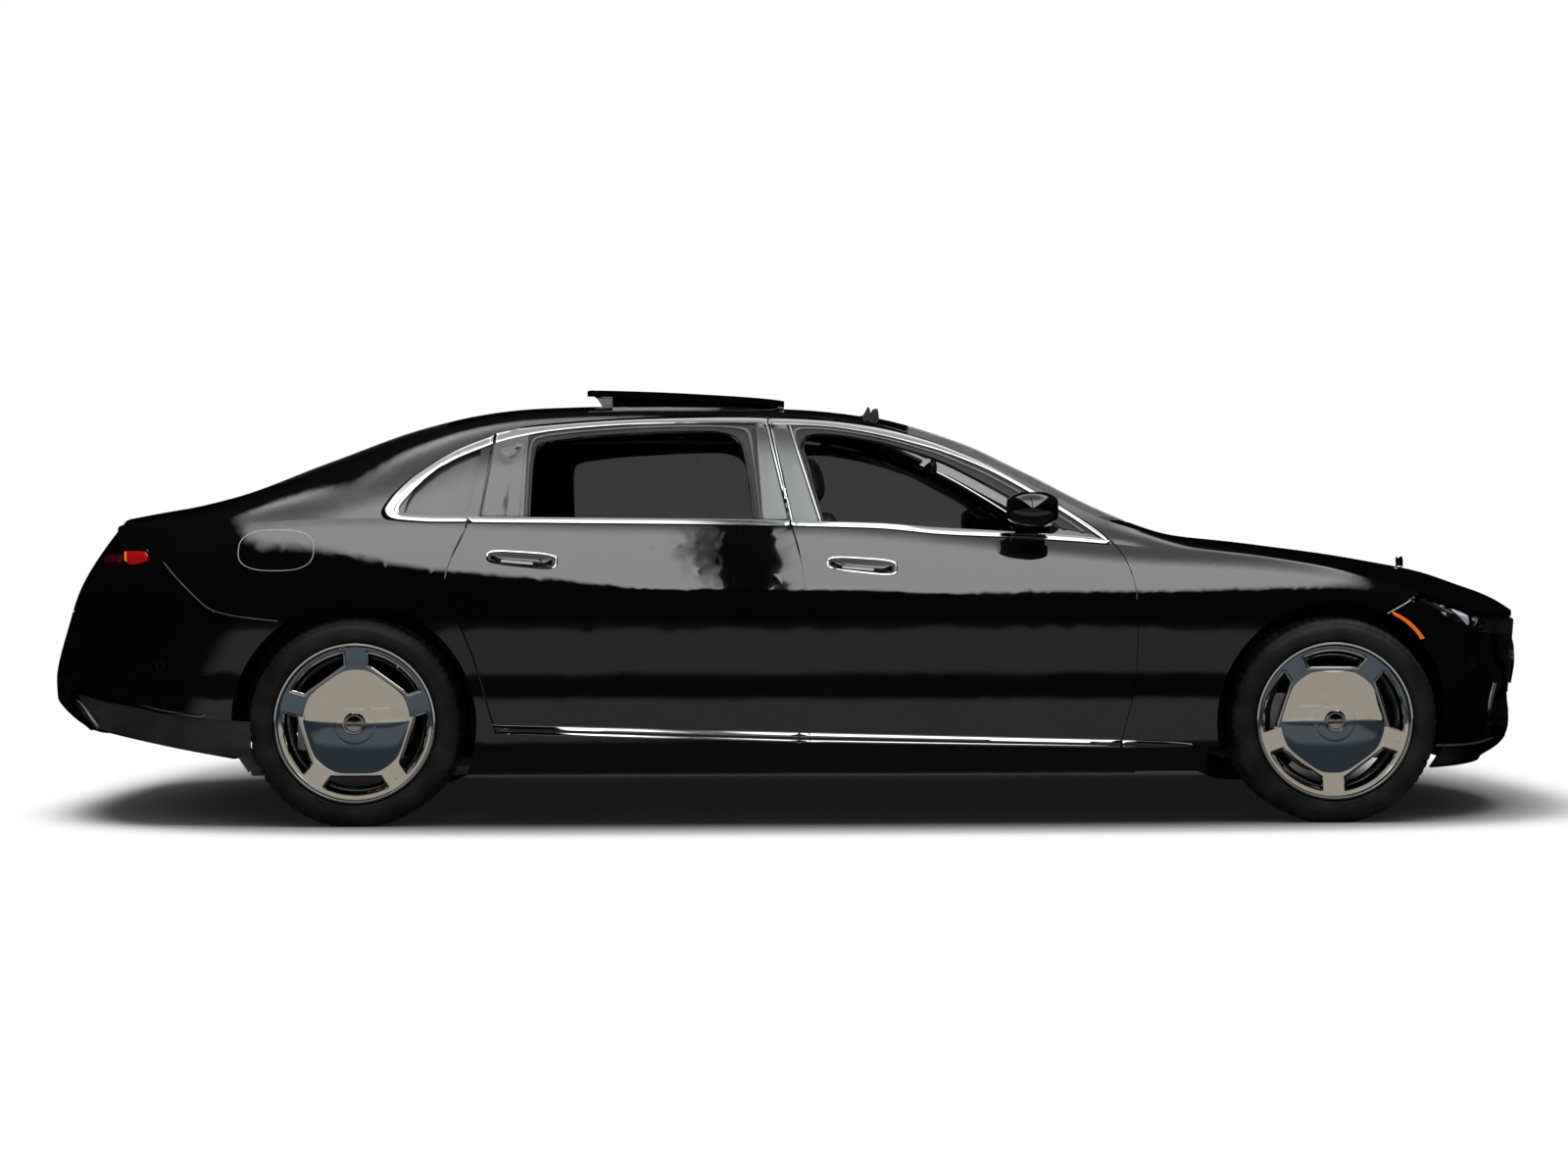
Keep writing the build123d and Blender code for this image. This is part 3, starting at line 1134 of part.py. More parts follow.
def make_rear_bench():
    """The two rear places with the armrest between them, as one upholstered piece."""
    seats = [make_seat(REAR_SEAT_HIP, hand, 24) for hand in (RIGHT, LEFT)]
    x = at(REAR_SEAT_HIP)
    middle = block(x - 90, x + 420, -150, 150, FLOOR_TOP + 0.3, CUSHION_TOP + 60)
    return solid_of(seats[0] + middle + seats[1])


def make_dashboard():
    """Dashboard across the cabin with the column that carries the steering wheel."""
    half = across(735)
    body = block(at(700), at(1040), -half, half, 640, 880)
    body = fillet(body.edges().filter_by(Axis.Y), 60)
    hood_box = block(at(760), at(1128), -half + 40, half - 40, 800, 912)
    brace = block(at(1000), at(CABIN_FRONT) - 0.3, -half + 60, half - 60, 640, 700)
    column = rod(column_point(60), column_point(330), 34)
    return solid_of(body + hood_box + brace + column)


STEERING_Y, STEERING_RADIUS, STEERING_TILT = 385.0, 188.0, 24.0


def column_point(distance):
    """Point on the steering column, from the hub towards the dashboard."""
    tilt = math.radians(STEERING_TILT)
    return (at(560) + distance * math.cos(tilt), STEERING_Y, 800 - distance * math.sin(tilt))


def make_steering_wheel():
    hub = Vector(*column_point(0))
    axis = Vector(*column_point(1)) - hub
    plane = Plane(hub, z_dir=axis)
    rim = plane * Torus(STEERING_RADIUS, 15)
    boss = Solid.make_cylinder(58, 45, Plane(hub, z_dir=axis))
    boss = boss + Solid.make_cylinder(26, 59.5, Plane(hub, z_dir=axis))
    wheel = rim + boss
    for angle in (0, 180, 270):
        arm = Pos(STEERING_RADIUS / 2, 0, 12) * Box(STEERING_RADIUS, 34, 14)
        wheel = wheel + plane * (Rot(0, 0, angle) * arm)
    return solid_of(wheel)


def make_console():
    x0, x1 = at(-330), at(690)
    body = block(x0, x1, -125, 125, FLOOR_TOP + 0.3, 560)
    body = fillet(body.edges().filter_by(Axis.X), 30)
    return solid_of(body)


def make_mirror(hand):
    """Mirror housing on its foot at the corner of the front door."""
    x, z = at(632), up(1092)
    shell = scale(Sphere(1), by=(104, 84, 64))
    shell = shell & Box(170, 170, 116)
    shell = Pos(x, hand * across(962), z) * shell
    foot_y = max(across(side_width(station, 1008)) for station in (560, 632, 704))
    foot = block(x - 60, x + 60, hand * foot_y, hand * across(962), z - 84, z - 62)
    neck = block(x - 40, x + 40, hand * across(925), hand * across(962), z - 70, z - 30)
    return solid_of(shell + foot + neck)


FIN_STATION = 2182.0


def make_hood_fin():
    """Plain upright fin on the hood's nose."""
    x = at(FIN_STATION)
    base = up(centre_height(FIN_STATION - 12)) + 0.3
    post = Pos(x, 0, base + 3) * Box(24, 14, 6) + Pos(x, 0, base + 24) * Box(8, 8, 40)
    return solid_of(post)


# ---- Writing the pieces ----
def main():
    os.makedirs("parts", exist_ok=True)
    write("hood", make_hood())
    write("hood_fin", make_hood_fin())
    write("windshield", make_windshield())
    write("cowl_panel", make_cowl())
    write("roof_panel", make_roof())
    write("roof_glass_rear", make_roof_glass())
    write("sunroof_panel", make_sunroof_panel())
    write("wind_deflector", make_wind_deflector())
    write("rear_window", make_rear_window())
    write("boot_lid", make_boot_lid())
    write("rear_bumper", make_rear_bumper())
    write("tail_lamps", compound(*make_tail_lamps()))
    write("front_bumper", make_front_bumper())
    write("radiator_grille", make_grille())
    write("headlamps", compound(*make_headlamps()))
    write("floor_shell", make_floor())
    write("front_subframe", make_front_subframe())
    write("rear_subframe", make_rear_subframe())
    write("engine_block", make_engine())
    write("exhaust", compound(make_exhaust(RIGHT), make_exhaust(LEFT)))
    write("dashboard", make_dashboard())
    write("centre_console", make_console())
    write("steering_wheel", make_steering_wheel())
    write("front_seats", compound(make_seat(FRONT_SEAT_HIP, RIGHT, 14), make_seat(FRONT_SEAT_HIP, LEFT, 14)))
    write("rear_seats", make_rear_bench())
    write("wheel_housings", compound(*[make_wheel_housing(front, hand)
                                       for front in (True, False) for hand in (RIGHT, LEFT)]))
    write("quarter_windows", compound(glass_pane(QUARTER_HOLE, RIGHT), glass_pane(QUARTER_HOLE, LEFT)))
    write("rear_knuckles", compound(make_knuckle(False, RIGHT), make_knuckle(False, LEFT)))
    for hand, name in SIDE_NAMES.items():
        write(f"body_side_{name}", make_body_side(hand))
        write(f"front_fender_{name}", make_fender(hand))
        write(f"front_door_{name}", door_shell(FRONT_DOOR, [FRONT_WINDOW_HOLE], hand))
        write(f"rear_door_{name}", door_shell(REAR_DOOR, [REAR_WINDOW_HOLE, REAR_FIXED_HOLE], hand))
        write(f"mirror_{name}", make_mirror(hand))
        panes = [glass_pane(REAR_FIXED_HOLE, hand)]
        if hand == LEFT:
            panes.append(glass_pane(REAR_WINDOW_HOLE, hand))
            write("front_window_left", glass_pane(FRONT_WINDOW_HOLE, hand))
        write(f"rear_door_glass_{name}", compound(*panes))
        write(f"front_knuckle_{name}", make_knuckle(True, hand))
        for front, end in ((True, "front"), (False, "rear")):
            write(f"wheel_{end}_{name}", make_wheel(front, hand))
            write(f"tyre_{end}_{name}", make_tyre(front, hand))


if __name__ == "__main__":
    main()
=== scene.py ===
"""Luxury sedan: finishes, trim, lamps, wheels and cabin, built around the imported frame."""
from __future__ import annotations

import logging
import math
from dataclasses import dataclass, field
from enum import Enum
from typing import Callable, ClassVar, Sequence

import bmesh
import bpy
from mathutils import Matrix, Vector


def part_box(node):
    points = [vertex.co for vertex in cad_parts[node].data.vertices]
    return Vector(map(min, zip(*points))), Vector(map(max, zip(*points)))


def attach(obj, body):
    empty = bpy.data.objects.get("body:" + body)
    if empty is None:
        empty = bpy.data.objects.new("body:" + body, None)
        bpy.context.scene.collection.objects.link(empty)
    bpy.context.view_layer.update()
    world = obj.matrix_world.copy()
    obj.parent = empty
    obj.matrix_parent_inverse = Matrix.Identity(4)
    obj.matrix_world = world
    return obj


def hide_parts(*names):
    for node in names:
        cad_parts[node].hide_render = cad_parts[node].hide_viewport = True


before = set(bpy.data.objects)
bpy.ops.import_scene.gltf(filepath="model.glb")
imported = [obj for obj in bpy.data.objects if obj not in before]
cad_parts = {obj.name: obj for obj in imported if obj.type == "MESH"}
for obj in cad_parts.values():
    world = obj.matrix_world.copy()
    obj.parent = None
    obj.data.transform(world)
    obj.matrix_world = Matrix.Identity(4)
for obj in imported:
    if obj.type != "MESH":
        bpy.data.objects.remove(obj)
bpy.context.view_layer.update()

LOG = logging.getLogger("sedan")
logging.basicConfig(level=logging.INFO, format="%(name)s: %(message)s")

Point = tuple[float, float]
Spot = tuple[float, float, float]
Colour = tuple[float, float, float, float]
Piece = bpy.types.Object
Material = bpy.types.Material


def middle_of_wheelbase() -> float:
    """X of the point halfway between the axles, in metres."""
    ends = [sum(corner.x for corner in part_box(f"tyre_{end}_right")) / 2 for end in ("front", "rear")]
    return sum(ends) / 2


MIDDLE = middle_of_wheelbase()


class Hand(Enum):
    """Side of the car, with the sign of its Y."""

    RIGHT = -1
    LEFT = 1

    @property
    def word(self) -> str:
        """Name of the side in piece and node names."""
        return self.name.lower()


class Slot(Enum):
    """Material slots of the record."""

    PAINT = "black_paint"
    CHROME = "chrome"
    ALLOY = "polished_alloy"
    TYRE = "tyre"
    LENS = "lamp_lens"
    RED = "red_lens"
    PLASTIC = "dark_plastic"
    CABIN = "cabin_plastic"
    LEATHER = "leather"
    METAL = "dark_metal"


# ---- Shader arithmetic ----
def operator(operation: str, swapped: bool = False) -> Callable[..., Signal]:
    """Makes a method of Signal that adds a Math node.

    Args:
        operation: name of the node's operation.
        swapped: whether the other operand comes first.

    Returns:
        The method.
    """
    def combine(self: Signal, *others: Signal | float) -> Signal:
        """Result of the operation."""
        operands = [*others, self] if swapped else [self, *others]
        return self.shader.node("ShaderNodeMath", {"operation": operation}, dict(enumerate(operands)))

    return combine


class Signal:
    """One output socket of a node tree that can be used in expressions."""

    __add__ = __radd__ = operator("ADD")
    __sub__ = operator("SUBTRACT")
    __rsub__ = operator("SUBTRACT", swapped=True)
    __mul__ = __rmul__ = operator("MULTIPLY")
    __truediv__ = operator("DIVIDE")
    __pow__ = operator("POWER")
    __gt__ = operator("GREATER_THAN")
    __lt__ = operator("LESS_THAN")
    __abs__ = operator("ABSOLUTE")
    root = operator("SQRT")
    folded = operator("PINGPONG")

    def __init__(self, shader: Shader, socket: bpy.types.NodeSocket) -> None:
        """Wraps a socket."""
        self.shader = shader
        self.socket = socket

    def wave(self, pitch: float) -> Signal:
        """Distance to the nearest whole multiple of a pitch."""
        return self.folded(pitch / 2)

    def step(self, low: float, high: float, to: Point = (0.0, 1.0)) -> Signal:
        """Smooth passage from the first to the last of two results, between two values."""
        settings, values = {"interpolation_type": "SMOOTHSTEP"}, (self, low, high, *to)
        return self.shader.node("ShaderNodeMapRange", settings, dict(enumerate(values)))


class Shader:
    """Node tree of one material or of the world."""

    def __init__(self, tree: bpy.types.NodeTree, surface: str, output: str) -> None:
        """Clears a tree and gives it one surface node and its output.

        Args:
            tree: the node tree.
            surface: type of the surface node.
            output: type of the output node.
        """
        self.tree = tree
        tree.nodes.clear()
        self.surface = tree.nodes.new(surface)
        self.output = tree.nodes.new(output)
        tree.links.new(self.surface.outputs[0], self.output.inputs[0])

    @classmethod
    def material(cls, name: str) -> tuple[Material, Shader]:
        """A new material with a Principled surface, and its shader."""
        made = bpy.data.materials.new(name)
        made.use_nodes = True
        return made, cls(made.node_tree, "ShaderNodeBsdfPrincipled", "ShaderNodeOutputMaterial")

    def node(self, kind: str, settings: dict, inputs: dict, output: int | str = 0) -> Signal:
        """Adds one node.

        Args:
            kind: type of the node.
            settings: its properties, set first.
            inputs: values or signals of its sockets, by name or number.
            output: the socket that is returned.

        Returns:
            The chosen output.
        """
        made = self.tree.nodes.new(kind)
        for key, value in settings.items():
            setattr(made, key, value)
        for key, value in inputs.items():
            self.feed(made.inputs[key], value)
        return Signal(self, made.outputs[output])

    def feed(self, socket: bpy.types.NodeSocket, value: Signal | float | Sequence[float]) -> None:
        """Links a signal to a socket, or sets its value."""
        if isinstance(value, Signal):
            self.tree.links.new(value.socket, socket)
        else:
            socket.default_value = value

    def dress(self, **values: Signal | float | Sequence[float]) -> None:
        """Sets sockets of the surface by name, with underscores for spaces."""
        for key, value in values.items():
            self.feed(self.surface.inputs[key.replace("_", " ")], value)

    def show(self, last: Signal) -> None:
        """Puts another surface in place of the first one."""
        self.tree.links.new(last.socket, self.output.inputs[0])

    def place(self) -> Signal:
        """Object coordinates, as a vector."""
        return self.node("ShaderNodeTexCoord", {}, {}, "Object")

    def rays(self, kind: str) -> Signal:
        """1 for rays of one kind."""
        return self.node("ShaderNodeLightPath", {}, {}, f"Is {kind} Ray")

    def split(self, vector: Signal) -> tuple[Signal, Signal, Signal]:
        """The three numbers of a vector."""
        made = self.tree.nodes.new("ShaderNodeSeparateXYZ")
        self.feed(made.inputs[0], vector)
        return tuple(Signal(self, made.outputs[i]) for i in range(3))

    def centred(self, centre: Sequence[float], scale: Sequence[float] = (1, 1, 1)) -> Signal:
        """Object coordinates measured from a centre."""
        moved = [-c * s for c, s in zip(centre, scale)]
        return self.node("ShaderNodeMapping", {}, {"Vector": self.place(), "Location": moved, "Scale": scale})

    def noise(self, scale: float, detail: float = 2.0, vector: Signal | None = None) -> Signal:
        """Cloudy pattern from 0 to 1."""
        place = self.place() if vector is None else vector
        return self.node("ShaderNodeTexNoise", {}, {"Vector": place, "Scale": scale, "Detail": detail})

    def cells(self, scale: float, feature: str = "F1") -> Signal:
        """Distance inside a pattern of cells."""
        values = {"Vector": self.place(), "Scale": scale}
        return self.node("ShaderNodeTexVoronoi", {"feature": feature}, values)

    def mixed(self, share: Signal | float, first: Colour | Signal, last: Colour | Signal) -> Signal:
        """Colour that goes from the first to the last as the share goes from 0 to 1."""
        return self.node("ShaderNodeMix", {"data_type": "RGBA"}, {0: share, 6: first, 7: last}, 2)

    def blend(self, share: Signal, first: Signal, last: Signal) -> Signal:
        """Surface that goes from the first to the last as the share goes from 0 to 1."""
        return self.node("ShaderNodeMixShader", {}, {0: share, 1: first, 2: last})

    def light(self, colour: Colour, strength: Signal | float) -> Signal:
        """Glowing surface."""
        return self.node("ShaderNodeEmission", {}, {"Color": colour, "Strength": strength})

    def bump(self, height: Signal, distance: float, strength: float = 1.0) -> Signal:
        """Normal that follows a height, with its depth in metres and how much of it shows."""
        return self.node("ShaderNodeBump", {}, {"Strength": strength, "Distance": distance, "Height": height})


def grey(value: float, tint: Sequence[float] = (1, 1, 1)) -> Colour:
    """A neutral colour, or a slightly tinted one."""
    return (value * tint[0], value * tint[1], value * tint[2], 1.0)


# ---- Finishes ----
@dataclass(frozen=True)
class Finish:
    """A material, drawn by each kind in its own way."""

    name: str
    colour: Colour

    def lit(self, level: float) -> Colour:
        """The colour, lighter or darker."""
        return tuple(level * c for c in self.colour[:3]) + (1.0,)

    def draw(self, shader: Shader) -> None:
        """Sets the surface.

        Args:
            shader: the material's shader.
        """
        raise NotImplementedError

    def build(self) -> Material:
        """Makes the material."""
        made, shader = Shader.material(self.name)
        self.draw(shader)
        return made


@dataclass(frozen=True)
class GlossPaint(Finish):
    """Deep gloss paint with the slight waviness of sprayed lacquer."""

    wave: float = 0.0

    def draw(self, shader: Shader) -> None:
        """Sets the surface."""
        cloud = shader.noise(3.0, 3.0)
        shader.dress(
            Base_Color=shader.mixed(cloud.step(0.3, 0.8), self.colour, grey(0.0026, (1, 1, 1.1))),
            Roughness=cloud * 0.02 + 0.025,
            Coat_Weight=1.0,
            Coat_Roughness=0.012,
            Coat_IOR=1.75,
            Normal=shader.bump(shader.noise(140.0, 1.0), self.wave, 0.35),
        )


@dataclass(frozen=True)
class Mirror(Finish):
    """Bright plated or polished metal."""

    roughness: float = 0.05

    def draw(self, shader: Shader) -> None:
        """Sets the surface."""
        cloud = shader.noise(26.0, 4.0)
        shader.dress(
            Base_Color=shader.mixed(cloud, self.colour, self.lit(0.9)),
            Metallic=1.0,
            Roughness=cloud * 0.04 + self.roughness,
            Normal=shader.bump(shader.noise(600.0, 1.0), 0.000004, 0.3),
        )


@dataclass(frozen=True)
class Brushed(Finish):
    """Satin metal with fine lines along one direction."""

    def draw(self, shader: Shader) -> None:
        """Sets the surface."""
        grain = shader.noise(1.0, 3.0, shader.centred((0, 0, 0), (900.0, 900.0, 6.0)))
        shader.dress(
            Base_Color=shader.mixed(grain, self.colour, self.lit(0.72)),
            Metallic=1.0,
            Roughness=grain * 0.12 + 0.24,
            Normal=shader.bump(grain, 0.00003, 0.5),
        )


@dataclass(frozen=True)
class Turned(Finish):
    """Metal cut on a lathe, with fine rings about a wheel's axis."""

    centre: Spot
    roughness: float
    pitch: float
    depth: float

    def draw(self, shader: Shader) -> None:
        """Sets the surface."""
        x, _, z = shader.split(shader.centred(self.centre))
        rings = (x * x + z * z).root().wave(self.pitch) / (self.pitch / 2)
        cloud = shader.noise(30.0, 3.0)
        shader.dress(
            Base_Color=shader.mixed(cloud, self.colour, self.lit(0.86)),
            Metallic=1.0,
            Roughness=cloud * 0.06 + self.roughness,
            Normal=shader.bump(rings, self.depth, 0.5),
        )


@dataclass(frozen=True)
class Pane(Finish):
    """Automotive glass, dark tinted or clear."""

    opacity: float

    def draw(self, shader: Shader) -> None:
        """Sets the surface."""
        haze = shader.noise(7.0, 3.0)
        shader.dress(
            Base_Color=shader.mixed(haze, self.colour, self.lit(1.5)),
            Roughness=haze * 0.02 + 0.01,
            Alpha=haze * 0.02 + (self.opacity - 0.01),
            Coat_Weight=1.0,
            Coat_Roughness=0.01,
        )


@dataclass(frozen=True)
class Lens(Finish):
    """Coloured lamp cover with fine upright ribs in its moulding."""

    glow: float = 0.0
    ribs: float = 0.006

    def draw(self, shader: Shader) -> None:
        """Sets the surface."""
        x, y, _ = shader.split(shader.place())
        rib = (x + y).wave(self.ribs) / (self.ribs / 2)
        colour = shader.mixed(rib, self.lit(0.35), self.colour)
        shader.dress(
            Base_Color=colour,
            Roughness=rib * 0.08 + 0.06,
            Coat_Weight=1.0,
            Coat_Roughness=0.01,
            Alpha=rib * 0.001 + 0.999,
            Normal=shader.bump(rib, 0.0004, 0.4),
        )
        if self.glow:
            shader.dress(Emission_Color=colour, Emission_Strength=self.glow)


@dataclass(frozen=True)
class Rubber(Finish):
    """Tyre and seal rubber, greyed where it is worn and dusty; in light grey the same finish draws painted
    highlights along shut lines.
    """

    # Grey of its patches: dusty wear on tyres and seals, sheen in the painted highlight lines.
    dust: float = 0.017
    roughness: float = 0.62

    def draw(self, shader: Shader) -> None:
        """Sets the surface."""
        cloud = shader.noise(11.0, 5.0)
        shader.dress(
            Base_Color=shader.mixed(cloud.step(0.35, 0.75), self.colour, grey(self.dust, (1, 0.98, 0.95))),
            Roughness=cloud * 0.14 + (self.roughness - 0.07),
            Normal=shader.bump(shader.noise(420.0, 2.0), 0.0001, 0.5),
        )


@dataclass(frozen=True)
class Moulded(Finish):
    """Moulded plastic or painted metal with a fine grain."""

    roughness: float = 0.5
    grain: float = 900.0
    depth: float = 0.00012

    def draw(self, shader: Shader) -> None:
        """Sets the surface."""
        cloud = shader.noise(9.0, 4.0)
        shader.dress(
            Base_Color=shader.mixed(cloud.step(0.3, 0.8), self.colour, self.lit(1.6)),
            Roughness=cloud * 0.12 + (self.roughness - 0.06),
            Normal=shader.bump(shader.cells(self.grain), self.depth, 0.5),
        )


@dataclass(frozen=True)
class Hide(Finish):
    """Upholstery leather with its grain, soft folds and rubbed high places."""

    holes: float = 0.0

    def draw(self, shader: Shader) -> None:
        """Sets the surface."""
        cloud = shader.noise(6.0, 4.0)
        grain = shader.cells(420.0, "DISTANCE_TO_EDGE").step(0.0, 0.25)
        colour = shader.mixed(cloud.step(0.35, 0.8), self.colour, self.lit(1.9))
        height = grain * 0.5 + shader.noise(28.0, 3.0)
        if self.holes:
            # The holes are drawn almost black: painted shade inside them.
            dots = shader.cells(self.holes).step(0.12, 0.2)
            colour = shader.mixed(dots, grey(0.002), colour)
            height = height + dots
        shader.dress(
            Base_Color=colour,
            Roughness=grain * 0.12 + 0.36,
            Normal=shader.bump(height, 0.0006, 0.45),
        )


@dataclass(frozen=True)
class Pile(Finish):
    """Headliner cloth."""

    scale: float
    depth: float

    def draw(self, shader: Shader) -> None:
        """Sets the surface."""
        tuft, cloud = shader.noise(self.scale, 3.0), shader.noise(8.0, 3.0)
        shader.dress(
            Base_Color=shader.mixed(tuft * 0.6 + cloud * 0.4, self.colour, self.lit(1.8)),
            Roughness=tuft * 0.1 + 0.88,
            Normal=shader.bump(tuft, self.depth, 0.7),
        )


class Finishes:
    """All finishes of the car, built once."""

    def __init__(self) -> None:
        """Builds every material."""
        rubber, plastic = grey(0.006), grey(0.016, (1, 1, 1.0625))
        self.paint = GlossPaint("gloss_black_paint", (0.0014, 0.0016, 0.002, 1.0), 0.000015).build()
        self.black_glass = GlossPaint("gloss_black_trim", (0.002, 0.002, 0.0025, 1.0), 0.000006).build()
        # Pale paint for the headlamp's cell and reflector: painted highlights in place of their bright reflections.
        self.lamp_painted_highlight = GlossPaint("lamp_reflector", (0.62, 0.64, 0.72, 1.0)).build()
        self.projector = GlossPaint("projector_glass", (0.004, 0.005, 0.016, 1.0)).build()
        self.chrome = Mirror("bright_chrome", (0.78, 0.79, 0.8, 1.0)).build()
        self.dark_chrome = Mirror("dark_chrome", (0.2, 0.21, 0.22, 1.0), 0.1).build()
        self.lamp_grey = Mirror("lamp_bezel", (0.42, 0.43, 0.44, 1.0), 0.16).build()
        self.satin = Brushed("satin_trim", (0.22, 0.235, 0.235, 1.0)).build()
        self.pane = Pane("tinted_pane", (0.008, 0.009, 0.010, 1.0), 0.8).build()
        self.quarter_pane = Pane("quarter_pane", (0.045, 0.046, 0.048, 1.0), 0.97).build()
        self.clear_pane = Pane("clear_pane", (0.03, 0.033, 0.034, 1.0), 0.42).build()
        self.lamp_cover = Pane("lamp_cover", (0.02, 0.021, 0.023, 1.0), 0.3).build()
        self.red = Lens("red_lens", (0.32, 0.004, 0.006, 1.0), 0.35).build()
        self.dark_red = Lens("dark_red_lens", (0.05, 0.001, 0.006, 1.0)).build()
        self.smoked_red = Lens("smoked_red_lens", (0.006, 0.0006, 0.001, 1.0)).build()
        self.amber = Lens("amber_lens", (0.85, 0.16, 0.01, 1.0), 0.45, 0.004).build()
        self.tread = Rubber("tyre_rubber", grey(0.007)).build()
        self.seal = Rubber("seal_rubber", rubber, 0.012, 0.45).build()
        # Grey seal rubber for the window lips, also laid along the rear shut line as a painted highlight; the light
        # grey after it is only a painted highlight along shut lines and the fuel flap's edge.
        self.seal_grey = Rubber("seal_edge", (0.045, 0.046, 0.047, 1.0), 0.06, 0.35).build()
        self.seal_edge_bright = Rubber("seal_edge_bright", grey(0.26), 0.32, 0.3).build()
        self.plastic = Moulded("grained_plastic", plastic).build()
        self.gloss_plastic = Moulded("plain_plastic", rubber, 0.22, 2000.0, 0.00002).build()
        self.bumper_dark = Moulded("bumper_lower", (0.017, 0.017, 0.0155, 1.0), 0.26, 1200.0, 0.00003).build()
        self.cabin = Moulded("cabin_moulding", (0.02, 0.02, 0.021, 1.0), 0.58, 700.0, 0.0002).build()
        self.metal = Moulded("coated_metal", (0.03, 0.03, 0.031, 1.0), 0.6, 300.0, 0.0002).build()
        self.cast = Moulded("cast_alloy", grey(0.16), 0.48, 500.0, 0.0003).build()
        self.plate = Moulded("blank_plate", (0.42, 0.42, 0.41, 1.0), 0.4, 900.0, 0.00005).build()
        self.mesh = Moulded("woven_net", grey(0.1), 0.8, 600.0, 0.0004).build()
        self.leather = Hide("seat_leather", (0.022, 0.020, 0.019, 1.0)).build()
        self.perforated = Hide("perforated_leather", (0.024, 0.022, 0.021, 1.0), 190.0).build()
        self.headliner = Pile("headliner", (0.035, 0.034, 0.033, 1.0), 1500.0, 0.0003).build()



# ---- Bench work ----
class Track:
    """Smooth line through side-view points (x from the wheelbase's middle, z), in metres."""

    def __init__(self, points: Sequence[Sequence[float]]) -> None:
        """Measures the line."""
        self.points = [Vector(p) for p in points]
        self.lengths = [0.0]
        for a, b in zip(self.points, self.points[1:]):
            self.lengths.append(self.lengths[-1] + (b - a).length)

    def at(self, share: float) -> Vector:
        """Point at a share of the length.

        Args:
            share: from 0 to 1.

        Returns:
            The point, in as many numbers as the track's own.
        """
        goal = share * self.lengths[-1]
        index = next((i for i, v in enumerate(self.lengths[1:]) if v >= goal - 1e-9), len(self.points) - 2)
        span = self.lengths[index + 1] - self.lengths[index]
        t = (goal - self.lengths[index]) / span
        p1, p2 = self.points[index], self.points[index + 1]
        p0 = self.points[index - 1] if index else p1 * 2 - p2
        p3 = self.points[index + 2] if index + 2 < len(self.points) else p2 * 2 - p1
        m1 = (p2 - p0) * (span / max(1e-9, (p2 - p1).length + (p1 - p0).length))
        m2 = (p3 - p1) * (span / max(1e-9, (p3 - p2).length + (p2 - p1).length))
        return ((2 * t ** 3 - 3 * t * t + 1) * p1 + (t ** 3 - 2 * t * t + t) * m1
                + (3 * t * t - 2 * t ** 3) * p2 + (t ** 3 - t * t) * m2)

    def way(self, share: float, reach: float) -> Vector:
        """Direction of the line at a share of its length."""
        return (self.at(min(1, share + reach)) - self.at(max(0, share - reach))).normalized()

    def even(self, count: int) -> list[Point]:
        """Evenly spaced points of the line."""
        return [tuple(self.at(i / (count - 1))) for i in range(count)]


def between(a: Sequence[float], b: Sequence[float], share: float) -> tuple[float, ...]:
    """Point at a share of the way from one point to another."""
    return tuple(p + (q - p) * share for p, q in zip(a, b))


def rounded(turn: float, power: float) -> Point:
    """Point of a unit circle that is squared by a power."""
    return tuple(math.copysign(abs(t) ** power, t) for t in (math.cos(turn), math.sin(turn)))


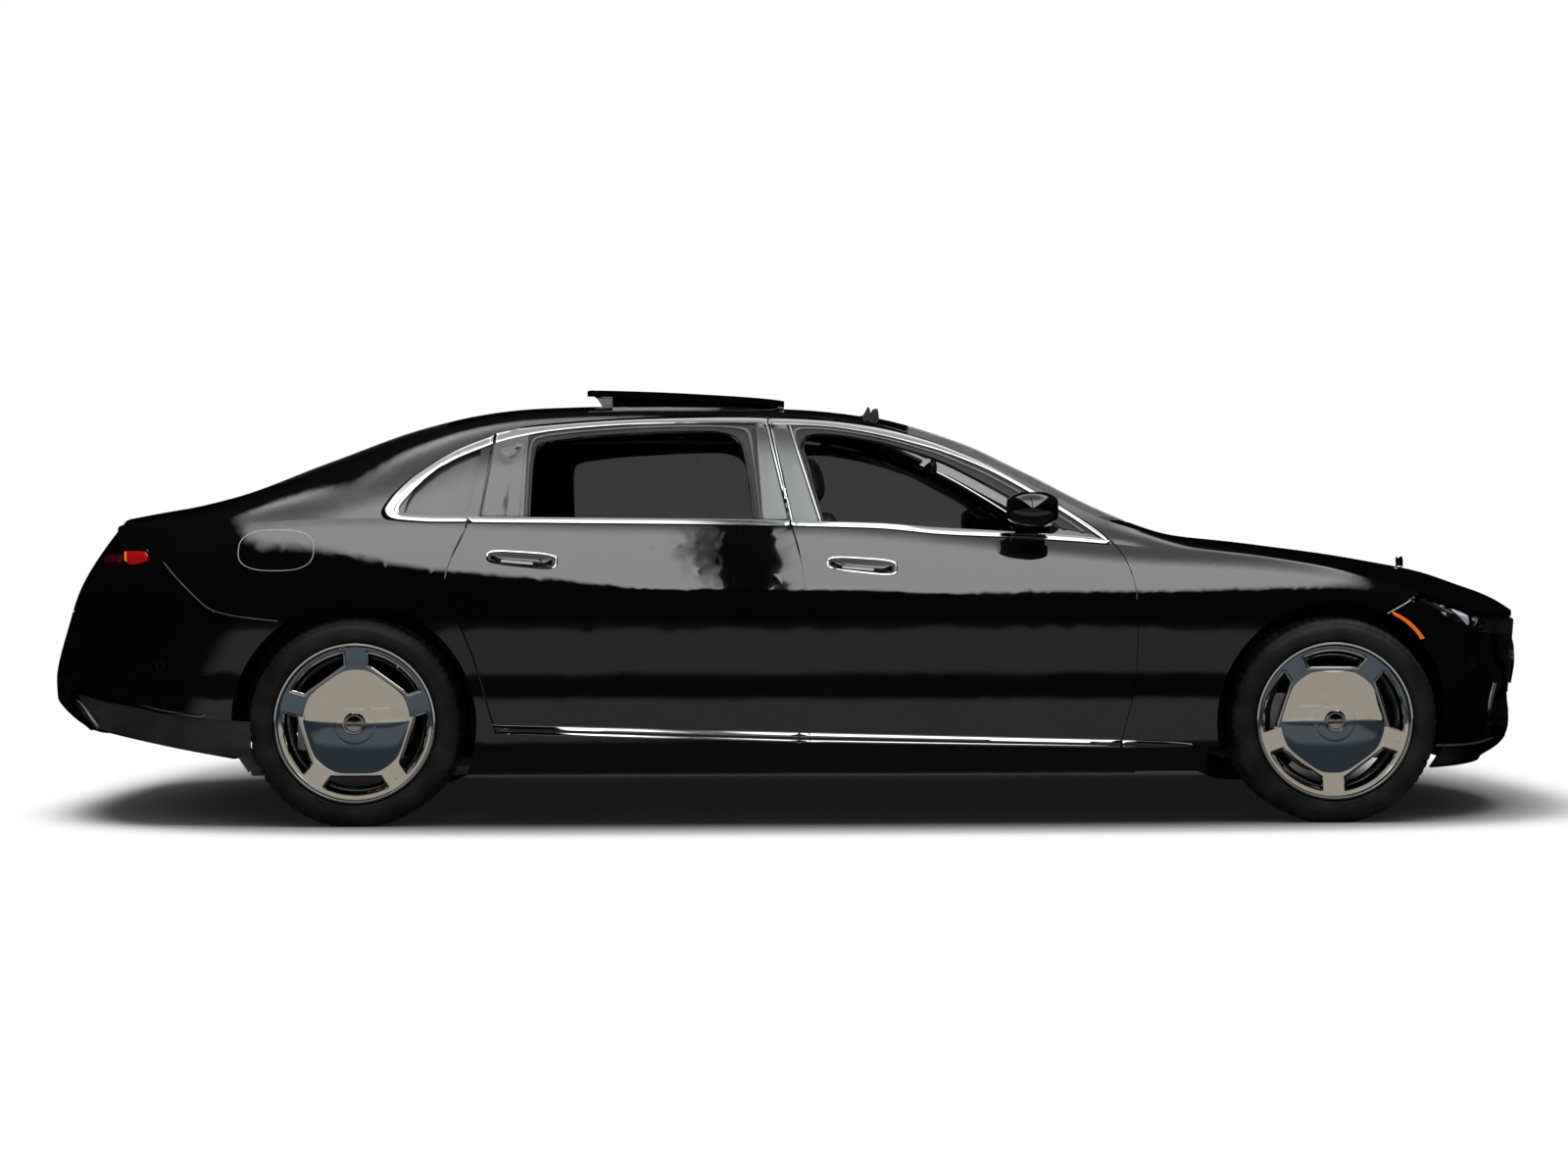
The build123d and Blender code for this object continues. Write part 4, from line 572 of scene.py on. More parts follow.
class Bench:
    """Modelling steps that the sub-assemblies share."""

    @staticmethod
    def only(piece: Piece) -> None:
        """Makes one object the only selected and the active one."""
        for other in bpy.context.selected_objects:
            other.select_set(False)
        piece.select_set(True)
        bpy.context.view_layer.objects.active = piece

    @staticmethod
    def nothing() -> None:
        """Deselects every object."""
        bpy.ops.object.select_all(action="DESELECT")
        bpy.context.view_layer.objects.active = None

    @staticmethod
    def rename(piece: Piece, name: str) -> Piece:
        """Names an object and its mesh."""
        piece.name = name
        piece.data.name = name
        return piece

    @classmethod
    def primitive(cls, name: str, kind: str, **settings: object) -> Piece:
        """Adds a mesh primitive.

        Args:
            name: the new object's name.
            kind: the primitive's kind.
            settings: the settings of its operator.

        Returns:
            The new object.
        """
        cls.nothing()
        getattr(bpy.ops.mesh, f"primitive_{kind}_add")(**settings)
        return cls.rename(bpy.context.active_object, name)

    @classmethod
    def apply(cls, piece: Piece, kind: str, **settings: object) -> Piece:
        """Adds a modifier, sets it and applies it.

        Args:
            piece: the object.
            kind: type of the modifier.
            settings: its properties.

        Returns:
            The same object.
        """
        cls.only(piece)
        modifier = piece.modifiers.new(kind.title(), kind)
        for key, value in settings.items():
            setattr(modifier, key, value)
        bpy.ops.object.modifier_apply(modifier=modifier.name)
        return piece

    @classmethod
    def project(cls, piece: Piece, target: Piece, axis: str, forward: bool, lift: float) -> None:
        """Projects a sheet onto another object along one axis.

        Args:
            piece: the sheet.
            target: the object that it lands on.
            axis: x or y.
            forward: whether it travels towards the axis's positive end.
            lift: its distance from the target.
        """
        ways = {f"use_project_{other}": other == axis for other in "xyz"}
        cls.apply(
            piece, "SHRINKWRAP", target=target, wrap_method="PROJECT", use_positive_direction=forward,
            use_negative_direction=not forward, offset=lift, **ways,
        )

    @classmethod
    def settle(cls, piece: Piece) -> Piece:
        """Puts an object's place into its mesh."""
        cls.only(piece)
        bpy.ops.object.transform_apply(location=True, rotation=True, scale=True)
        return piece

    @classmethod
    def edit(cls, piece: Piece, *steps: Callable[[], object], select: str = "SELECT") -> Piece:
        """Runs edit-mode steps.

        Args:
            piece: the object.
            steps: calls without arguments, in order.
            select: what happens to the selection first.

        Returns:
            The same object.
        """
        cls.only(piece)
        bpy.ops.object.mode_set(mode="EDIT")
        bpy.ops.mesh.select_all(action=select)
        for step in steps:
            step()
        bpy.ops.object.mode_set(mode="OBJECT")
        return piece

    @classmethod
    def face_out(cls, piece: Piece) -> Piece:
        """Turns all faces one way, outwards where the object is closed."""
        return cls.edit(piece, lambda: bpy.ops.mesh.normals_make_consistent(inside=False))

    @classmethod
    def tidy(cls, piece: Piece, merge: float = 0.00005) -> Piece:
        """Merges doubles and turns the faces outwards."""
        return cls.edit(
            piece,
            lambda: bpy.ops.mesh.remove_doubles(threshold=merge),
            lambda: bpy.ops.mesh.normals_make_consistent(inside=False),
        )

    @staticmethod
    def orient(piece: Piece, outwardness: Callable[[bpy.types.MeshPolygon], float]) -> None:
        """Flips an object's faces if they point inwards on the whole.

        Args:
            piece: the object.
            outwardness: how far a face points outwards.
        """
        if sum(outwardness(face) * face.area for face in piece.data.polygons) < 0:
            piece.data.flip_normals()

    @classmethod
    def surface(
        cls, name: str, columns: int, rows: int, place: Callable[[float, float], Sequence[float]]
    ) -> Piece:
        """Grid whose points are laid by a rule.

        Args:
            name: the object's name.
            columns: faces across.
            rows: faces up.
            place: gives a point for shares of the width and height.

        Returns:
            The new object, at the origin.
        """
        made = cls.primitive(name, "grid", x_subdivisions=columns, y_subdivisions=rows, size=2, calc_uvs=True)
        for vertex in made.data.vertices:
            vertex.co = Vector(place((vertex.co.x + 1) / 2, (vertex.co.y + 1) / 2))
        made.data.update()
        return made

    @classmethod
    def turned(cls, name: str, centre: Vector, profile: Sequence[Point], hand: Hand, steps: int) -> Piece:
        """Solid spun about an axis along Y.

        Args:
            name: the object's name.
            centre: a point of the axis.
            profile: points (radius, outboard distance) of a closed outline.
            hand: the outboard side.
            steps: how many steps go round.

        Returns:
            The new object.
        """
        made = cls.primitive(name, "circle", vertices=len(profile), radius=1)
        for vertex, (radius, out) in zip(made.data.vertices, profile):
            vertex.co = (centre[0] + radius, centre[1] + hand.value * out, centre[2])
        whole = {"steps": steps, "angle": 2 * math.pi, "center": centre, "axis": (0, 1, 0)}
        cls.edit(made, lambda: bpy.ops.mesh.spin(**whole))
        return cls.tidy(made)

    @classmethod
    def bar(
        cls, name: str, path: Sequence[Sequence[float]], radius: float, sides: int = 8, smooth: int = 3
    ) -> Piece:
        """Round bar along a line of points.

        Args:
            name: the object's name.
            path: points (x, y, z).
            radius: its radius.
            sides: faces around.
            smooth: steps between two points.

        Returns:
            The new object, with its ends closed.
        """
        track = Track(path)

        def place(u: float, v: float) -> Vector:
            """Point of the bar's skin."""
            ahead = track.way(u, 0.01)
            aside = ahead.cross(Vector((0.13, 0.21, 0.97))).normalized()
            turn = 2 * math.pi * v
            return track.at(u) + radius * (math.cos(turn) * aside + math.sin(turn) * ahead.cross(aside))

        made = cls.tidy(cls.surface(name, smooth * (len(path) - 1), sides, place))
        return cls.edit(
            made,
            lambda: bpy.ops.mesh.select_mode(type="EDGE"),
            lambda: bpy.ops.mesh.select_all(action="DESELECT"),
            lambda: bpy.ops.mesh.select_non_manifold(),
            lambda: bpy.ops.mesh.edge_face_add(),
            lambda: bpy.ops.mesh.select_all(action="SELECT"),
            lambda: bpy.ops.mesh.normals_make_consistent(inside=False),
        )

    @classmethod
    def block(
        cls, name: str, low: Sequence[float], high: Sequence[float], edge: float, segments: int = 3
    ) -> Piece:
        """Rounded block between two corners.

        Args:
            name: the object's name.
            low: lowest corner.
            high: highest corner.
            edge: radius of its edges.
            segments: faces across each rounding.

        Returns:
            The new object.
        """
        centre = [(a + b) / 2 for a, b in zip(low, high)]
        size = [abs(b - a) for a, b in zip(low, high)]
        made = cls.primitive(name, "cube", size=1, location=centre, scale=size)
        cls.settle(made)
        return cls.edit(made, lambda: bpy.ops.mesh.bevel(offset=edge, segments=segments, affect="EDGES"))

    @classmethod
    def copy_of(cls, source: Piece, name: str) -> Piece:
        """Copies an object with its mesh, and takes the copy off its body.

        Args:
            source: the object.
            name: the copy's name.

        Returns:
            The copy.
        """
        made = source.copy()
        made.data = source.data.copy()
        for key in [k for k in made.keys() if k.startswith("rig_")]:
            del made[key]
        made.parent = None
        made.matrix_world = Matrix.Identity(4)
        bpy.context.scene.collection.objects.link(made)
        return cls.rename(made, name)

    @classmethod
    def join(cls, name: str, pieces: Sequence[Piece]) -> Piece:
        """Joins several objects into one.

        Args:
            name: the whole's name.
            pieces: the objects.

        Returns:
            The whole.
        """
        cls.nothing()
        for piece in pieces:
            piece.select_set(True)
        bpy.context.view_layer.objects.active = pieces[0]
        bpy.ops.object.join()
        return cls.rename(pieces[0], name)

    @classmethod
    def finish(
        cls, piece: Piece, body: str, material: Material, slot: Slot, smooth: float = 35.0,
        second: Material | None = None,
    ) -> Piece:
        """Shades a piece, gives it its finish and puts it on its body.

        Args:
            piece: the object.
            body: the body that it rides.
            material: its finish.
            slot: the record's slot; not used.
            smooth: the angle in degrees up to which edges are shaded smooth.
            second: finish of its second material slot.

        Returns:
            The same object.
        """
        cls.settle(piece)
        bpy.ops.object.shade_smooth_by_angle(angle=math.radians(smooth))
        piece.data.materials.clear()
        for finish in filter(None, (material, second)):
            piece.data.materials.append(finish)
        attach(piece, body)
        LOG.info("%s on %s, %d faces", piece.name, body, len(piece.data.polygons))
        return piece


class Skin:
    """The outer skin of one side, onto which trim is laid."""

    PARTS = ("body_side_{0}", "front_door_{0}", "rear_door_{0}", "front_fender_{0}")
    WHOLE = ("front_bumper", "rear_bumper", "headlamps", "tail_lamps", "roof_panel", "hood", "boot_lid")
    FLAT = 1.3
    MISSED = 1.25

    def __init__(self, hand: Hand) -> None:
        """Joins copies of the side's nodes into one guide.

        Args:
            hand: the side.
        """
        self.hand = hand
        self.deep = 0.015
        names = [part.format(hand.word) for part in self.PARTS] + list(self.WHOLE)
        copies = [Bench.copy_of(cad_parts[name], f"guide_{name}") for name in names]
        self.guide = Bench.join(f"guide_{hand.word}", copies)

    def flat(self, x: float, z: float) -> Spot:
        """Point of a sheet before it is laid."""
        return (MIDDLE + x, self.hand.value * self.FLAT, z)

    def lay(self, piece: Piece, lift: float) -> Piece:
        """Projects a sheet onto the skin from outboard.

        Args:
            piece: a sheet that hangs outboard of the skin.
            lift: its distance from the skin.

        Returns:
            The same object.
        """
        Bench.project(piece, self.guide, "y", self.hand is Hand.RIGHT, lift)
        self.bridge(piece)
        return piece

    def bridge(self, piece: Piece) -> None:
        """Carries a laid sheet over gaps and openings from the points beside them.

        Args:
            piece: the laid sheet.
        """
        mesh = piece.data
        near: list[list[int]] = [[] for _ in mesh.vertices]
        for edge in mesh.edges:
            a, b = edge.vertices
            near[a].append(b)
            near[b].append(a)
        out = [abs(vertex.co.y) for vertex in mesh.vertices]
        good = [value < self.MISSED for value in out]
        for index, around in enumerate(near):
            highest = max((out[k] for k in around if out[k] < self.MISSED), default=0.0)
            if good[index] and out[index] < highest - self.deep:
                good[index] = False
        while not all(good):
            found = {}
            for index, around in enumerate(near):
                beside = [out[k] for k in around if good[k]]
                if not good[index] and beside:
                    found[index] = sum(beside) / len(beside)
            if not found:
                break
            for index, value in found.items():
                out[index], good[index] = value, True
        for vertex, value in zip(mesh.vertices, out):
            vertex.co.y = self.hand.value * value

    def swell(self, piece: Piece, columns: int, rows: int, height: Callable[[float, float], float]) -> None:
        """Raises a laid grid outboard by a rule.

        Args:
            piece: the grid.
            columns: faces across it.
            rows: faces up it.
            height: rise for shares of its width and height.
        """
        for vertex in piece.data.vertices:
            row, column = divmod(vertex.index, columns + 1)
            vertex.co.y += self.hand.value * height(column / columns, row / rows)

    def outwards(self, piece: Piece) -> None:
        """Turns a sheet so that its normals point outboard."""
        Bench.orient(piece, lambda face: self.hand.value * face.normal.y)

    def strip(
        self, name: str, body: str, upper: Sequence[Point], lower: Sequence[Point], material: Material,
        slot: Slot = Slot.CHROME, columns: int = 24, rows: int = 3, lift: float = 0.0006,
        thickness: float = 0.003, edge: float = 0.0006, crown: float = 0.001,
    ) -> Piece:
        """Lays a strip between two side-view lines and puts it on its body.

        Args:
            name: start of the piece's name.
            body: the body that it rides.
            upper: its upper line.
            lower: its lower line.
            material: its finish.
            slot: the record's slot.
            columns: faces along it.
            rows: faces across it.
            lift: its distance from the skin.
            thickness: its thickness.
            edge: radius of its edges.
            crown: how far its middle stands proud of its edges.

        Returns:
            The finished piece.
        """
        top, bottom = Track(upper), Track(lower)

        def place(u: float, v: float) -> Spot:
            """Point of the flat sheet."""
            low, high = bottom.at(u), top.at(u)
            return self.flat(*(low + (high - low) * v))

        made = Bench.surface(f"{name}_{self.hand.word}", columns, rows, place)
        self.lay(made, lift)
        if crown:
            self.swell(made, columns, rows, lambda _, v: crown * math.sin(math.pi * v))
        Bench.face_out(made)
        self.outwards(made)
        Bench.apply(made, "SOLIDIFY", thickness=thickness, offset=1.0, use_even_offset=True)
        Bench.apply(made, "BEVEL", width=edge, segments=2, limit_method="ANGLE", angle_limit=math.radians(40))
        return Bench.finish(made, body, material, slot)

    def line(self, name: str, points: Sequence[Point], wide: float, material: Material, slot: Slot,
             **more: object) -> Piece:
        """Lays a narrow line of one width on the root.

        Args:
            name: start of the piece's name.
            points: its middle.
            wide: its width.
            material: its finish.
            slot: the record's slot.
            more: settings for the strip.

        Returns:
            The finished line.
        """
        track = Track(points)
        upper, lower = [], []
        count = 4 * (len(points) - 1)
        for i in range(count + 1):
            here, way = track.at(i / count), track.way(i / count, 0.02)
            aside = Vector((-way.y, way.x)) * wide / 2
            upper.append(tuple(here + aside))
            lower.append(tuple(here - aside))
        return self.strip(name, "root", upper, lower, material, slot, columns=6 * count, **more)

    def sheet(self, piece: Piece, body: str, material: Material, slot: Slot,
              thickness: float) -> Piece:
        """Thickens a laid sheet outwards and puts it on its body.

        Args:
            piece: the sheet.
            body: the body that it rides.
            material: its finish.
            slot: the record's slot.
            thickness: its thickness.

        Returns:
            The finished piece.
        """
        self.outwards(piece)
        Bench.apply(piece, "SOLIDIFY", thickness=thickness, offset=1.0)
        return Bench.finish(piece, body, material, slot)

    def ring(self, name: str, body: str, inner: Sequence[Point], outer: Sequence[Point],
             material: Material, slot: Slot, rows: int, lift: float, thickness: float,
             crown: float = 0.0) -> None:
        """Lays a closed band between two outlines and puts it on its body.

        Args:
            name: the piece's name.
            body: the body that it rides.
            inner: its inner outline.
            outer: its outer outline, with as many points.
            material: its finish.
            slot: the record's slot.
            rows: faces across it.
            lift: its distance from the skin.
            thickness: its thickness.
            crown: how far its middle stands proud of its edges.
        """
        count = len(inner)

        def place(u: float, v: float) -> Spot:
            """Point of the flat band."""
            index = round(u * count) % count
            return self.flat(*between(inner[index], outer[index], v))

        made = Bench.surface(name, count, rows, place)
        self.lay(made, lift)
        self.swell(made, count, rows, lambda _, v: crown * math.sin(math.pi * v))
        self.sheet(Bench.tidy(made), body, material, slot, thickness)

    def clear(self) -> None:
        """Removes the guide."""
        bpy.data.objects.remove(self.guide)


# ---- Studio ----
@dataclass
class Studio:
    """Camera, lamps, floor and surroundings."""

    polished: Sequence[Piece]
    focal: float = 51.75
    eye: Spot = (-0.25, -8.725, 0.87)
    yaw: float = 0.04
    shift: Point = (-0.053, -0.0094)
    ceiling: float = 2.2
    floor_near: float = 0.2
    floor_far: float = 0.16
    card: Point = (12.0, 7.0)
    card_floor: Point = (8.0, 0.09)
    card_colour: Spot = (1.36, 1.06, 0.76)
    # Half length and half width of the shadow painted into the floor's colour; beyond them the floor turns white.
    shade: Point = (3.0, 1.97)
    covers: tuple[tuple[str, Point], ...] = (("rear", (-1.56, 0.67)), ("front", (1.94, 0.67)))

    def build(self) -> None:
        """Sets the whole studio up."""
        scene = bpy.context.scene
        scene.view_settings.view_transform = "Standard"
        self.camera(scene)
        self.world(scene)
        group = bpy.data.collections.new("polished")
        for piece in self.polished:
            group.objects.link(piece)
        self.lamps(group)
        self.awnings(group)
        self.floor()

    def camera(self, scene: bpy.types.Scene) -> None:
        """Adds the camera.

        Args:
            scene: the scene that it looks at.
        """
        data = bpy.data.cameras.new("camera")
        data.lens = self.focal
        data.sensor_width = 36.0
        data.shift_x, data.shift_y = self.shift
        made = bpy.data.objects.new("camera", data)
        made.location = (MIDDLE + self.eye[0], self.eye[1], self.eye[2])
        made.rotation_euler = (math.pi / 2, 0, -self.yaw)
        scene.collection.objects.link(made)
        scene.camera = made

    def world(self, scene: bpy.types.Scene) -> None:
        """Makes the surroundings white to the camera, and a soft ceiling with darker walls to gloss.

        Args:
            scene: the scene that they surround.
        """
        world = bpy.data.worlds.new("studio")
        world.use_nodes = True
        shader = Shader(world.node_tree, "ShaderNodeBackground", "ShaderNodeOutputWorld")
        x, y, z = shader.split(shader.node("ShaderNodeTexCoord", {}, {}, "Generated"))
        seen, gloss = shader.rays("Camera"), shader.rays("Glossy")
        height = z.step(0.001, 0.002) * z + 0.002
        along, across = x / height, y / height
        sides = along.step(0.5, 0.65, (1, 0)) * along.step(-0.48, -0.38)
        rise = z / (abs(y) + 0.001) + x.step(0.12, 0.3, (0, 0.11))
        panel = sides * (z > 0.0) * ((y > 0.0) + (y < 0.0) * rise.step(0.145, 0.172))
        far = across.step(0.3, 0.75, (1, 0)) * z.step(0.83, 0.97, (1, 0.2))
        post = abs(x + 0.008).step(0.0155, 0.017, (1, 0)) * z.step(0.95, 1.0, (1, 0))
        dx, dz = (x + 0.016) / 0.022, (z - 0.62) / 0.42
        bite = (dx * dx + dz * dz).step(0.1, 2.2, (0.92, 0))
        flag = (post + bite * (1 - post)) * (y < 0.0)
        gloss_light = panel * far * (1 - flag) * self.ceiling + 0.001
        light = gloss * gloss_light + (1 - gloss) * 0.32
        shader.dress(Color=grey(1), Strength=seen + (1 - seen) * light)
        scene.world = world

    def lamps(self, group: bpy.types.Collection) -> None:
        """Adds soft overhead lamps, and low warm cards for the polished alloy only.

        Args:
            group: the polished pieces.
        """
        (wide, tall), (deep, dim) = self.card, self.card_floor
        white, cool, stand = (1, 1, 1), (0.8, 1.0, 1.15), (math.pi / 2, 0, 0)
        for name, size, spot, turn, colour, power, linked in (
            ("overhead", (7.5, 3.6), (MIDDLE, -0.4, 4.6), None, white, 800.0, False),
            ("front_fill", (8.0, 2.0), (MIDDLE, -6.5, 3.0), None, white, 30.0, False),
            ("wheel_card", (wide, tall), (MIDDLE, -3.0, 0.235 + tall / 2), stand, self.card_colour,
             math.pi * wide * tall, True),
            ("wheel_floor", (wide, deep), (MIDDLE, -0.97 - deep / 2, 0.012), (math.pi, 0, 0), cool,
             math.pi * wide * deep * dim, True),
        ):
            data = bpy.data.lights.new(name, "AREA")
            data.shape = "RECTANGLE"
            data.size, data.size_y = size
            data.color = colour
            data.energy = power
            made = bpy.data.objects.new(name, data)
            made.location = spot
            aim = (Vector((MIDDLE, 0, 0.4)) - Vector(spot)).to_track_quat("-Z", "Y").to_euler()
            made.rotation_euler = turn or aim
            bpy.context.scene.collection.objects.link(made)
            if linked:
                made.visible_camera = False
                made.light_linking.receiver_collection = group
            else:
                made.visible_glossy = False

    def awnings(self, group: bpy.types.Collection) -> None:
        """Adds warm sheets over the wheel cards, lit and seen from below and by gloss alone.

        Args:
            group: the polished pieces.
        """
        material, shader = Shader.material("studio_awning")
        below = shader.node("ShaderNodeNewGeometry", {}, {}, "Backfacing")
        clear = shader.node("ShaderNodeBsdfTransparent", {}, {})
        shader.show(shader.blend(below, clear, shader.light((*self.card_colour, 1.0), 1.0)))
        for name, (x, z) in self.covers:
            made = Bench.primitive(f"awning_{name}", "plane", size=2.1, location=(x, -2.06, z))
            made.scale = (0.66, 1.0, 1.0)
            Bench.settle(made)
            made.data.materials.append(material)
            made.light_linking.receiver_collection = group
            for kind in ("camera", "diffuse", "shadow", "transmission"):
                setattr(made, f"visible_{kind}", False)

    def floor(self) -> None:
        """Pale floor that fades to white away from the car, with the car's shadow painted into its colour and a
        faint painted glow that lifts that shadow.
        """
        made = Bench.settle(Bench.primitive("floor", "plane", size=90, location=(0, 0, 0)))
        material, shader = Shader.material("studio_floor")
        x, y, _ = shader.split(shader.place())
        out, aside = abs(y), abs(x - MIDDLE)
        grain = shader.noise(30.0)
        # Rounded box around the car: inside it the floor's colour is darkened into a painted shadow of the car, and
        # beyond it the camera sees plain white.
        reach = ((abs(x - MIDDLE + 0.02) / self.shade[0]) ** 4 + (abs(y - 0.6) / self.shade[1]) ** 4) ** 0.25
        # The faint emission below is a painted glow that lifts the painted shadow under the car.
        shader.dress(
            Base_Color=shader.mixed(grain, grey(0.8), grey(0.82)) * reach.step(0.72, 1.0, (0.05, 0.5)),
            Roughness=grain * 0.1 + 0.8,
            Specular_IOR_Level=0.0,
            Emission_Color=grey(1),
            Emission_Strength=0.008,
        )
        seen_white = shader.rays("Camera") * reach.step(0.9, 1.02)
        matt, white = Signal(shader, shader.surface.outputs[0]), shader.light(grey(1), 1.0)
        first = shader.blend(seen_white, matt, white)
        ring = (out.step(1.5, 1.8, (0.02, self.floor_near)) * out.step(3.4, 3.8, (1, 0.05))
                + out.step(5.2, 6.0, (0, self.floor_far)) * out.step(16.0, 26.0, (1, 0.03)))
        ring = ring * (aside / (out * 0.3 + 2.1)).step(1.0, 1.15, (1, 0.02))
        shader.show(shader.blend(shader.rays("Glossy"), first, shader.light((1, 0.97, 0.92, 1), ring)))
        made.data.materials.append(material)


def cut(points: Sequence[Point], first: float, last: float) -> list[Point]:
    """Part of a line between two places along the car.

    Args:
        points: the line, with rising x.
        first: where the part starts.
        last: where it ends.

    Returns:
        The part, with its ends put in.
    """
    def height(x: float) -> float:
        """Height of the line at x."""
        for (x0, z0), (x1, z1) in zip(points, points[1:]):
            if x0 <= x <= x1:
                return z0 + (z1 - z0) * (x - x0) / (x1 - x0)
        return points[0][1] if x < points[0][0] else points[-1][1]

    inside = [p for p in points if first + 0.004 < p[0] < last - 0.004]
    return [(first, height(first)), *inside, (last, height(last))]


@dataclass
class SideTrim:
    """Bright and satin strips of one side, split at the shut lines."""

    hand: Hand
    finishes: Finishes
    skin: Skin
    gap: float = 0.003
    rear_edge: float = -1.319
    pillar: float = -0.2035
    arc_rear_edge: float = -1.2475
    arc_pillar: float = -0.2835
    nose: float = 0.915

    BELT_TOP: ClassVar = (
        (-1.606, 1.078), (-1.478, 1.063), (-1.248, 1.063), (-0.363, 1.055), (0.117, 1.043), (0.323, 1.026),
        (0.565, 1.014), (0.80, 0.998), (0.915, 0.985))
    BELT_LOW: ClassVar = (
        (-1.589, 1.054), (-1.475, 1.046), (-0.363, 1.038), (0.117, 1.025), (0.323, 1.006), (0.565, 0.995),
        (0.80, 0.981), (0.915, 0.972))
    ARC_TOP: ClassVar = (
        (-1.639, 1.082), (-1.602, 1.154), (-1.531, 1.22), (-1.399, 1.302), (-1.252, 1.361), (-1.171, 1.381),
        (-1.039, 1.396), (-0.808, 1.414), (-0.606, 1.423), (-0.365, 1.429), (-0.095, 1.421), (0.026, 1.407),
        (0.147, 1.385), (0.247, 1.357), (0.335, 1.327), (0.48, 1.261), (0.62, 1.183), (0.764, 1.096),
        (0.861, 1.029), (0.915, 0.983))
    ARC_LOW: ClassVar = (
        (-1.57, 1.082), (-1.497, 1.178), (-1.396, 1.26), (-1.255, 1.324), (-1.169, 1.349), (-1.037, 1.374),
        (-0.807, 1.395), (-0.606, 1.401), (-0.365, 1.402), (-0.095, 1.395), (0.025, 1.38), (0.146, 1.356),
        (0.246, 1.33), (0.334, 1.304), (0.481, 1.245), (0.609, 1.176), (0.776, 1.073), (0.85, 1.02), (0.895, 0.985))
    RING_OUTER: ClassVar = (
        (-1.2505, 1.3575), (-1.392, 1.294), (-1.514, 1.212), (-1.580, 1.147), (-1.612, 1.098), (-1.618, 1.078),
        (-1.608, 1.0625), (-1.585, 1.0555), (-1.475, 1.047), (-1.322, 1.0465))
    RING_INNER: ClassVar = (
        (-1.2505, 1.326), (-1.396, 1.26), (-1.497, 1.178), (-1.545, 1.118), (-1.5595, 1.092), (-1.5545, 1.0775),
        (-1.538, 1.0705), (-1.515, 1.0685), (-1.45, 1.0665), (-1.322, 1.0645))
    REAR_FRAME_OUT: ClassVar = (
        (-1.126, 1.064), (-1.126, 1.18), (-1.126, 1.27), (-1.124, 1.33), (-1.115, 1.353), (-1.085, 1.363),
        (-1.039, 1.372), (-0.917, 1.384), (-0.75, 1.396), (-0.606, 1.4), (-0.47, 1.4), (-0.385, 1.398),
        (-0.338, 1.393), (-0.3295, 1.375), (-0.3255, 1.34), (-0.319, 1.28), (-0.307, 1.18), (-0.294, 1.056))
    REAR_FRAME_IN: ClassVar = (
        (-1.104, 1.063), (-1.104, 1.18), (-1.101, 1.27), (-1.094, 1.305), (-1.08, 1.322), (-1.05, 1.332),
        (-1.02, 1.336), (-0.917, 1.35), (-0.75, 1.362), (-0.606, 1.369), (-0.49, 1.3705), (-0.435, 1.362),
        (-0.40, 1.344), (-0.382, 1.318), (-0.372, 1.29), (-0.362, 1.245), (-0.35, 1.18), (-0.335, 1.057))
    FRONT_FRAME_OUT: ClassVar = (
        (-0.099, 1.049), (-0.152, 1.21), (-0.185, 1.31), (-0.20, 1.355), (-0.206, 1.38), (-0.2, 1.394),
        (-0.17, 1.396), (-0.095, 1.393), (0.025, 1.378), (0.146, 1.354), (0.246, 1.328), (0.334, 1.302),
        (0.481, 1.243), (0.609, 1.174), (0.776, 1.071), (0.815, 1.045), (0.862, 1.008))
    FRONT_FRAME_IN: ClassVar = (
        (-0.087, 1.048), (-0.12, 1.18), (-0.145, 1.27), (-0.153, 1.305), (-0.151, 1.335), (-0.138, 1.352),
        (-0.11, 1.361), (-0.07, 1.361), (-0.017, 1.357), (0.104, 1.335), (0.223, 1.302), (0.331, 1.263),
        (0.477, 1.187), (0.561, 1.139), (0.68, 1.067), (0.722, 1.04), (0.744, 1.026))
    SILL_TOP: ClassVar = ((-1.229, 0.346), (-0.174, 0.317), (0.929, 0.288), (1.19, 0.277))
    SILL_LOW: ClassVar = ((-1.19, 0.322), (-0.174, 0.287), (0.92, 0.266), (1.19, 0.272))

    def strip(self, name: str, body: str, upper: Sequence[Point], lower: Sequence[Point],
              material: Material, **more: object) -> None:
        """Lays one strip, as wide and as thick as a window line unless told otherwise."""
        usual = {"columns": 40, "rows": 4, "thickness": 0.004, "edge": 0.0008, "crown": 0.003}
        self.skin.strip(name, body, upper, lower, material, **{**usual, **more})

    def build(self) -> None:
        """Lays all strips."""
        self.rear, self.front = (f"{end}_door_{self.hand.word}" for end in ("rear", "front"))
        self.window_lines()
        self.sills()
        self.pillar_panels()
        self.frames()

    def window_lines(self) -> None:
        """Bright lines under and around the windows."""
        chrome = self.finishes.chrome
        for name, top, low, edge, pillar, end, density, least, rows in (
            ("belt_strip", self.BELT_TOP, self.BELT_LOW, self.rear_edge, self.pillar, self.nose, 60, 12, 4),
            ("window_arc", self.ARC_TOP, self.ARC_LOW, self.arc_rear_edge, self.arc_pillar, 0.895, 70, 16, 5),
        ):
            parts = ((self.rear, edge + self.gap, pillar - self.gap, pillar - self.gap),
                     (self.front, pillar + self.gap, self.nose, end))
            for index, (body, first, last, low_last) in enumerate(parts):
                self.strip(f"{name}_{index}", body, cut(top, first, last), cut(low, first, low_last), chrome,
                           columns=max(least, round((last - first) * density)), rows=rows)
        self.strip("quarter_ring", "root", self.RING_OUTER, self.RING_INNER, chrome, columns=72, rows=5)

